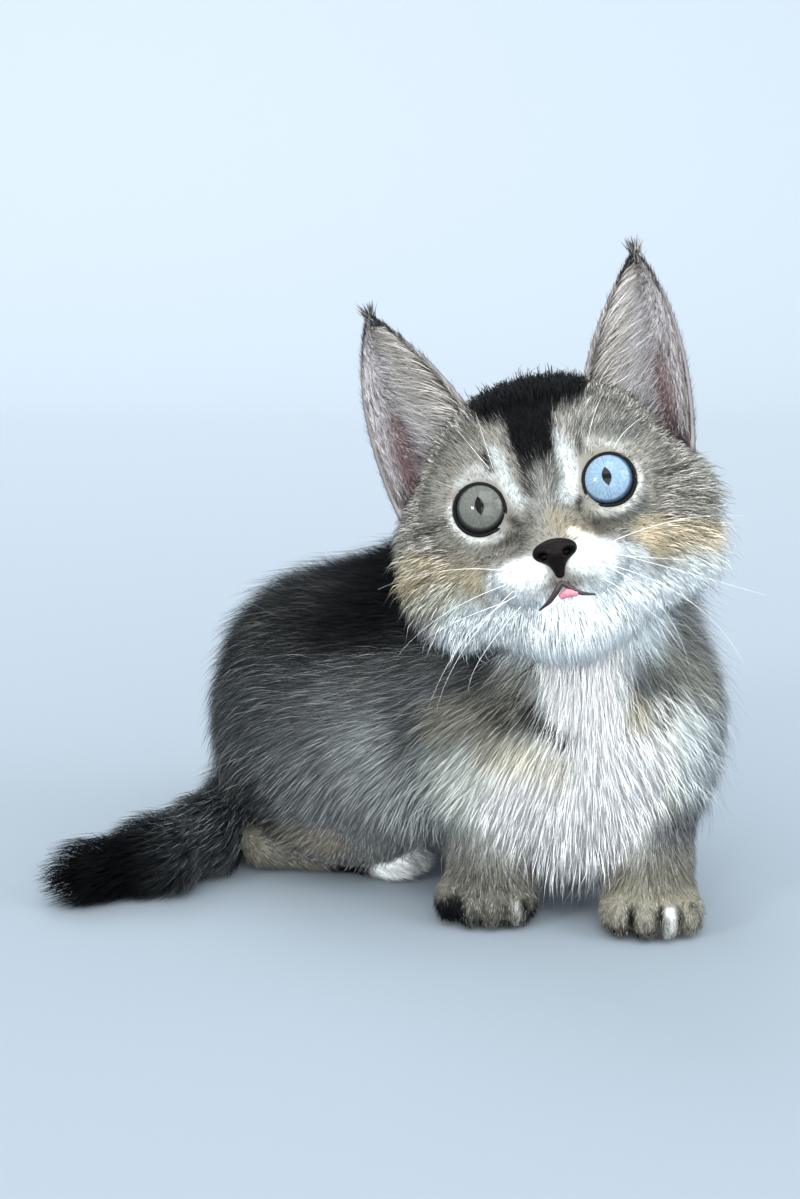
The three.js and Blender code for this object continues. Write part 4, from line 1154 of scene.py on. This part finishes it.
def ball(name, side, finish, sight):
    """An eyeball whose pole is on the line of sight, turned sideways and up by degrees."""
    around, rows = 96, 64
    a, b = np.meshgrid(np.linspace(0, 2 * np.pi, around, endpoint=False),
                       np.linspace(0, np.pi, rows + 1)[1:-1], indexing="ij")
    flat = np.stack([np.sin(b) * np.cos(a), -np.cos(b), np.sin(b) * np.sin(a)], -1)
    flat = flat.transpose(1, 0, 2).reshape(-1, 3)
    flat = np.concatenate([flat, [[0, -1, 0], [0, 1, 0]]]) * EYE_RADIUS
    k = np.arange(around)
    after = (k + 1) % around
    faces = []
    for row in range(rows - 2):
        low, high = row * around + k, row * around + after
        faces += [np.stack([low, low + around, high], 1), np.stack([high, low + around, high + around], 1)]
    last = (rows - 2) * around
    faces += [np.stack([np.full(around, len(flat) - 2), k, after], 1),
              np.stack([last + k, np.full(around, len(flat) - 1), last + after], 1)]
    sideways, upward = (math.radians(d) for d in sight)
    turn = np.array(Matrix.Rotation(sideways, 3, "Z") @ Matrix.Rotation(-upward, 3, "X"))
    points = from_head(flat @ turn.T + [side * EYE_ASIDE, EYE_DEEP, 0])
    piece = make_mesh(name, points, np.concatenate(faces), finish)
    flat_place = np.stack([flat[:, 0], flat[:, 2], np.zeros(len(flat))], 1)
    flat_place[flat[:, 1] > 0] = [EYE_RADIUS, 0, 0]  # the hidden half is all dark
    place = piece.data.attributes.new("eye place", "FLOAT_VECTOR", "POINT")
    place.data.foreach_set("vector", flat_place.astype(np.float32).ravel())
    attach(piece, "root")
    return piece


green = eye_material("grey-green eye", "#575a55", "#474a46", "#2c2e2b", 5.75, (1.1, 2.4))
blue = eye_material("light blue eye", "#72899b", "#637d93", "#33485c", 6.0, (1.15, 2.4))
right_eye = ball("right eye", -1, green, (-3, 5))
left_eye = ball("left eye", 1, blue, (3, 5))
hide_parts("eye_right")
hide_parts("eye_left")

# The nose leather: bare, finely pebbled skin, almost black brown and slightly moist. A small soft
# triangle with two nostrils hollowed out, meshed from a field as the skin is, and sunk into the
# muzzle.
nose_pad = egg([0, -36.7, -14.8], [5.5, 3.3, 2.9])
nose_form = blend(2, nose_pad, rod([0, -36.9, -15.8], [0, -36.4, -20.4], 2.7, 1.2))
nostrils = blend(0.5, *both(lambda side: egg([side * 3.3, -39.0, -15.7], [1.5, 2.4, 0.95], side * 24)))


def nose_field(p):
    return -soft_min(-nose_form(p), nostrils(p), 0.8)


# its pebbles, about 0.7 mm, break up a weak gleam
leather, leather_tree, leather_shader = material("nose leather", {
    "Base Color": (*linear("#0b0707"), 1), "Roughness": 0.42, "Specular IOR Level": 0.08,
})
pebble_at = node(leather_tree, "ShaderNodeTexCoord", {})
pebble = node(leather_tree, "ShaderNodeTexNoise", {"Scale": 1400.0, "Detail": 2.0},
              pebble_at.outputs["Object"])
bump = node(leather_tree, "ShaderNodeBump", {"Strength": 0.35, "Distance": 0.0003},
            Height=pebble.outputs["Fac"])
leather_tree.links.new(bump.outputs[0], leather_shader.inputs["Normal"])
points, quads = mesh_of(nose_field, [-8, -43, -23], [8, -31, -10], 0.35)
nose = make_mesh("nose", from_head(points), quads, leather)
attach(nose, "root")
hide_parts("nose")

# The mouth: the lips' line of soft near-black skin, and the moist pink lower lip that shows in
# the middle of it. Each is a round tube swept along the muzzle, thin at its ends, and sunk a
# little into it.
def swept(points, radii, section=10):
    """A closed tube through points in the head's frame, with a radius at each."""
    t = np.linspace(0, len(points) - 1, 8 * (len(points) - 1) + 1)
    path = np.stack([np.interp(t, np.arange(len(points)), line) for line in zip(*points)], 1)
    for _ in range(2):
        path[1:-1] = (path[:-2] + 2 * path[1:-1] + path[2:]) / 4
    radius = np.interp(t, np.arange(len(points)), radii)[:, None, None]
    run = unit(np.gradient(path, axis=0))
    out = unit(np.cross(run, [0, 0, 1.0]) + [0, 1e-6, 0])
    up = np.cross(out, run)
    a = np.linspace(0, 2 * np.pi, section, endpoint=False)[:, None]
    ring = path[:, None] + radius * (np.cos(a) * out[:, None] + np.sin(a) * up[:, None])
    rows = len(path)
    points = np.concatenate([ring.reshape(-1, 3), path[:1], path[-1:]])
    i, j = (grid.ravel() for grid in np.meshgrid(np.arange(rows - 1), np.arange(section), indexing="ij"))
    here, beside = i * section + j, i * section + (j + 1) % section
    k = np.arange(section)
    after = (k + 1) % section
    n = rows * section
    faces = [np.stack([here, here + section, beside], 1),
             np.stack([beside, here + section, beside + section], 1),
             np.stack([np.full(section, n), k, after], 1),
             np.stack([np.full(section, n + 1), n - section + after, n - section + k], 1)]
    return points, np.concatenate(faces)


# satin, so that the line reads as moist skin and not as a gap
lips, _, _ = material("near-black lip skin", {"Base Color": (*linear("#251a1b"), 1), "Roughness": 0.45})
line = [(-7.0, -32.4, -27.8), (-3.9, -35.4, -26.4), (-1.5, -36.7, -24.2), (0, -37.3, -22.6),
        (1.5, -36.7, -24.2), (3.9, -35.4, -26.2), (7.0, -32.4, -27.0)]
points, faces = swept(line, [0.2, 0.6, 0.75, 0.6, 0.6, 0.5, 0.2])
lip_line = make_mesh("lip line", from_head(points), faces, lips)
# a softer gleam on pink
moist, _, _ = material("moist pink lip", {"Base Color": (*linear("#b06c78"), 1), "Roughness": 0.35})
points, faces = swept([(-1.2, -35.9, -26), (0.8, -36.4, -25.3), (3.0, -35.7, -26.0)], [0.7, 1.3, 0.7])
lower_lip = make_mesh("lower lip", from_head(points), faces, moist)
for piece in (lip_line, lower_lip):
    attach(piece, "root")

# The whiskers: stiff white tapered hairs from the lip pads and brows, 0.12 mm thick at the root.
# Each is a round profile swept by Geometry Nodes along a curve from root to tip. A line's places
# are in the head's frame: root, where the hair passes half way, and tip.
WHISKERS = [
    [(-12, -35, -17), (-28, -33, -13.2), (-45, -26, -13.6)],
    [(-13, -35, -20), (-30, -34, -23.8), (-43, -28, -30.3)],
    [(-12, -36, -22), (-27, -36, -33.4), (-37, -31, -46.1)],
    [(-11, -35, -23), (-26, -37, -31), (-38.5, -33, -45)],
    [(-14, -34, -24), (-28, -34, -26.2), (-37, -30, -28.9)],
    [(-11, -35, -26), (-23, -36, -35.9), (-28, -33, -43.2)],
    [(11, -36, -18), (24, -33, -22), (36, -26, -25.2)],
    [(11, -36, -21), (22, -36, -34), (25, -31, -51)],
    [(12, -36, -21), (29, -34, -34), (38, -26, -51)],
    [(13, -35, -18), (30, -31, -27), (47, -22, -36)],
    [(12, -35, -16), (30, -33, -14), (46, -24, -16)],
    [(10, -36, -24), (19, -37, -34), (24, -34, -44)],
    [(-11.6, -27, 9), (-14.4, -30, 14.7), (-17.6, -29, 21)],
    [(-10.7, -27, 9), (-11, -31, 15.6), (-11.7, -29, 23)],
    [(13, -27, 9), (16, -31, 15), (20, -29, 21)],
    [(19, -26, 7), (23.4, -28, 10.7), (29, -26, 13.3)],
]
WHISKER_RADIUS = 0.00006
# smooth and white, so that it catches the light along its length
hair, _, _ = material("whisker hair", {"Base Color": (*linear("#f4f4f2"), 1), "Roughness": 0.35})
curves = bpy.data.curves.new("whisker lines", "CURVE")
curves.dimensions = "3D"
for root, half_way, end in np.array(WHISKERS, float):
    shares = np.linspace(0, 1, 15)
    path = to_scene(from_head(bezier([root, 2 * half_way - (root + end) / 2, end], shares)))
    spline = curves.splines.new("POLY")
    spline.points.add(len(path) - 1)
    for point, place, share in zip(spline.points, path, shares):
        point.co, point.radius = (*place, 1), 1 - 0.85 * share
lines = bpy.data.objects.new("whisker lines", curves)
bpy.context.scene.collection.objects.link(lines)
tree = bpy.data.node_groups.new("whisker sweep", "GeometryNodeTree")
tree.interface.new_socket("Geometry", in_out="INPUT", socket_type="NodeSocketGeometry")
thick = tree.interface.new_socket("Radius", in_out="INPUT", socket_type="NodeSocketFloat")
tree.interface.new_socket("Geometry", in_out="OUTPUT", socket_type="NodeSocketGeometry")
given = node(tree, "NodeGroupInput", {})
profile = node(tree, "GeometryNodeCurvePrimitiveCircle", {"Resolution": 6}, Radius=given.outputs["Radius"])
taper = node(tree, "GeometryNodeInputRadius", {})
sweep = node(tree, "GeometryNodeCurveToMesh", {"Fill Caps": True}, Curve=given.outputs["Geometry"],
             Profile_Curve=profile.outputs["Curve"], Scale=taper.outputs[0])
real = node(tree, "GeometryNodeRealizeInstances", {}, sweep.outputs["Mesh"])
dressed = node(tree, "GeometryNodeSetMaterial", {"Material": hair}, real.outputs["Geometry"])
node(tree, "NodeGroupOutput", {}, dressed.outputs["Geometry"])
modifier = lines.modifiers.new("sweep", "NODES")
modifier.node_group = tree
modifier[thick.identifier] = WHISKER_RADIUS
bpy.context.view_layer.update()
whisker_mesh = bpy.data.meshes.new_from_object(lines.evaluated_get(bpy.context.evaluated_depsgraph_get()))
lines.modifiers.remove(modifier)
bpy.data.objects.remove(lines)
whiskers = bpy.data.objects.new("whiskers", whisker_mesh)
bpy.context.scene.collection.objects.link(whiskers)
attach(whiskers, "root")

# The ground and backdrop: one pale blue-white sheet of matt paper that curves up behind. Its
# colour is painted paler towards the back and where it rises, as painted light on the back wall.
# no gleam, so that the kitten's soft shadow is all that shows
sheet, sheet_tree, sheet_shader = material("pale backdrop paper", {"Roughness": 0.85})
sheet_at = node(sheet_tree, "ShaderNodeTexCoord", {})
sheet_split = node(sheet_tree, "ShaderNodeSeparateXYZ", {}, sheet_at.outputs["Object"])
# painted light: the paper's colour runs paler from the front of the ground to the back, where it rises
behind = node(sheet_tree, "ShaderNodeMapRange", {"From Min": 0.0, "From Max": 0.75}, sheet_split.outputs["Y"])
paper = node(sheet_tree, "ShaderNodeMix",
             {"data_type": "RGBA", "A": (*linear("#778189"), 1), "B": (*linear("#929aa1"), 1)},
             Factor=behind.outputs["Result"])
sheet_tree.links.new(paper.outputs["Result"], sheet_shader.inputs["Base Color"])
bend = np.linspace(0, np.pi / 2, 24)
profile = [(-1800, 0), *zip(700 + 500 * np.sin(bend), 500 - 500 * np.cos(bend)), (1200, 2200)]
points = np.array([(x, y, z) for x in (-2200, 2200) for y, z in profile], float)
k = np.arange(len(profile) - 1)
quads = np.stack([k, k + len(profile), k + len(profile) + 1, k + 1], 1)
ground = make_mesh("backdrop", points - SHIFT, quads, sheet)
ground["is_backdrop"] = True

# The light: soft studio lamps above, in front, low in front, at the right and behind, and pale
# air all round. The small front lamp at the left gives the eyes their catch light.
def lamp(name, at, size, power, hexes):
    """A square lamp, size in metres and power in watts, that shines on the kitten."""
    data = bpy.data.lights.new(name, "AREA")
    data.size, data.energy, data.color = size, power, linear(hexes)
    made = bpy.data.objects.new(name, data)
    made.location = at
    made.rotation_euler = (Vector((0, 0, 0.08)) - Vector(at)).to_track_quat("-Z", "Y").to_euler()
    bpy.context.scene.collection.objects.link(made)
    made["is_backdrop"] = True


lamp("front soft lamp", (-0.95, -0.95, 0.5), 0.22, 11, "#fffdf8")
lamp("high soft lamp", (0.1, -0.7, 1.3), 1.0, 15, "#fdfdff")
lamp("low front soft lamp", (0.15, -1.3, 0.2), 0.9, 12, "#fbfcfb")
lamp("right soft lamp", (1.1, -0.5, 0.7), 0.7, 12, "#f2f7ff")
lamp("back soft lamp", (-0.3, 0.9, 1.1), 0.9, 12, "#eef4ff")
world = bpy.data.worlds.new("pale air")
bpy.context.scene.world = world
world.use_nodes = True
air = world.node_tree.nodes["Background"]
air.inputs["Color"].default_value = (*linear("#ebf1f5"), 1)
air.inputs["Strength"].default_value = 1.95

# The camera: in front and a little above, looking down by 14 degrees as in the photo, at a
# distance that gives the photo's framing.
view = bpy.data.cameras.new("camera")
view.lens, view.sensor_width = 80.83, 36
camera = bpy.data.objects.new("camera", view)
camera.location = (0.0006, -0.6910, 0.2518)
camera.rotation_euler = (math.radians(90 - 14), 0, 0)
bpy.context.scene.collection.objects.link(camera)
bpy.context.scene.camera = camera
bpy.context.scene.view_settings.view_transform = "Standard"

# the box round the shown pieces, without the backdrop
low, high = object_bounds()
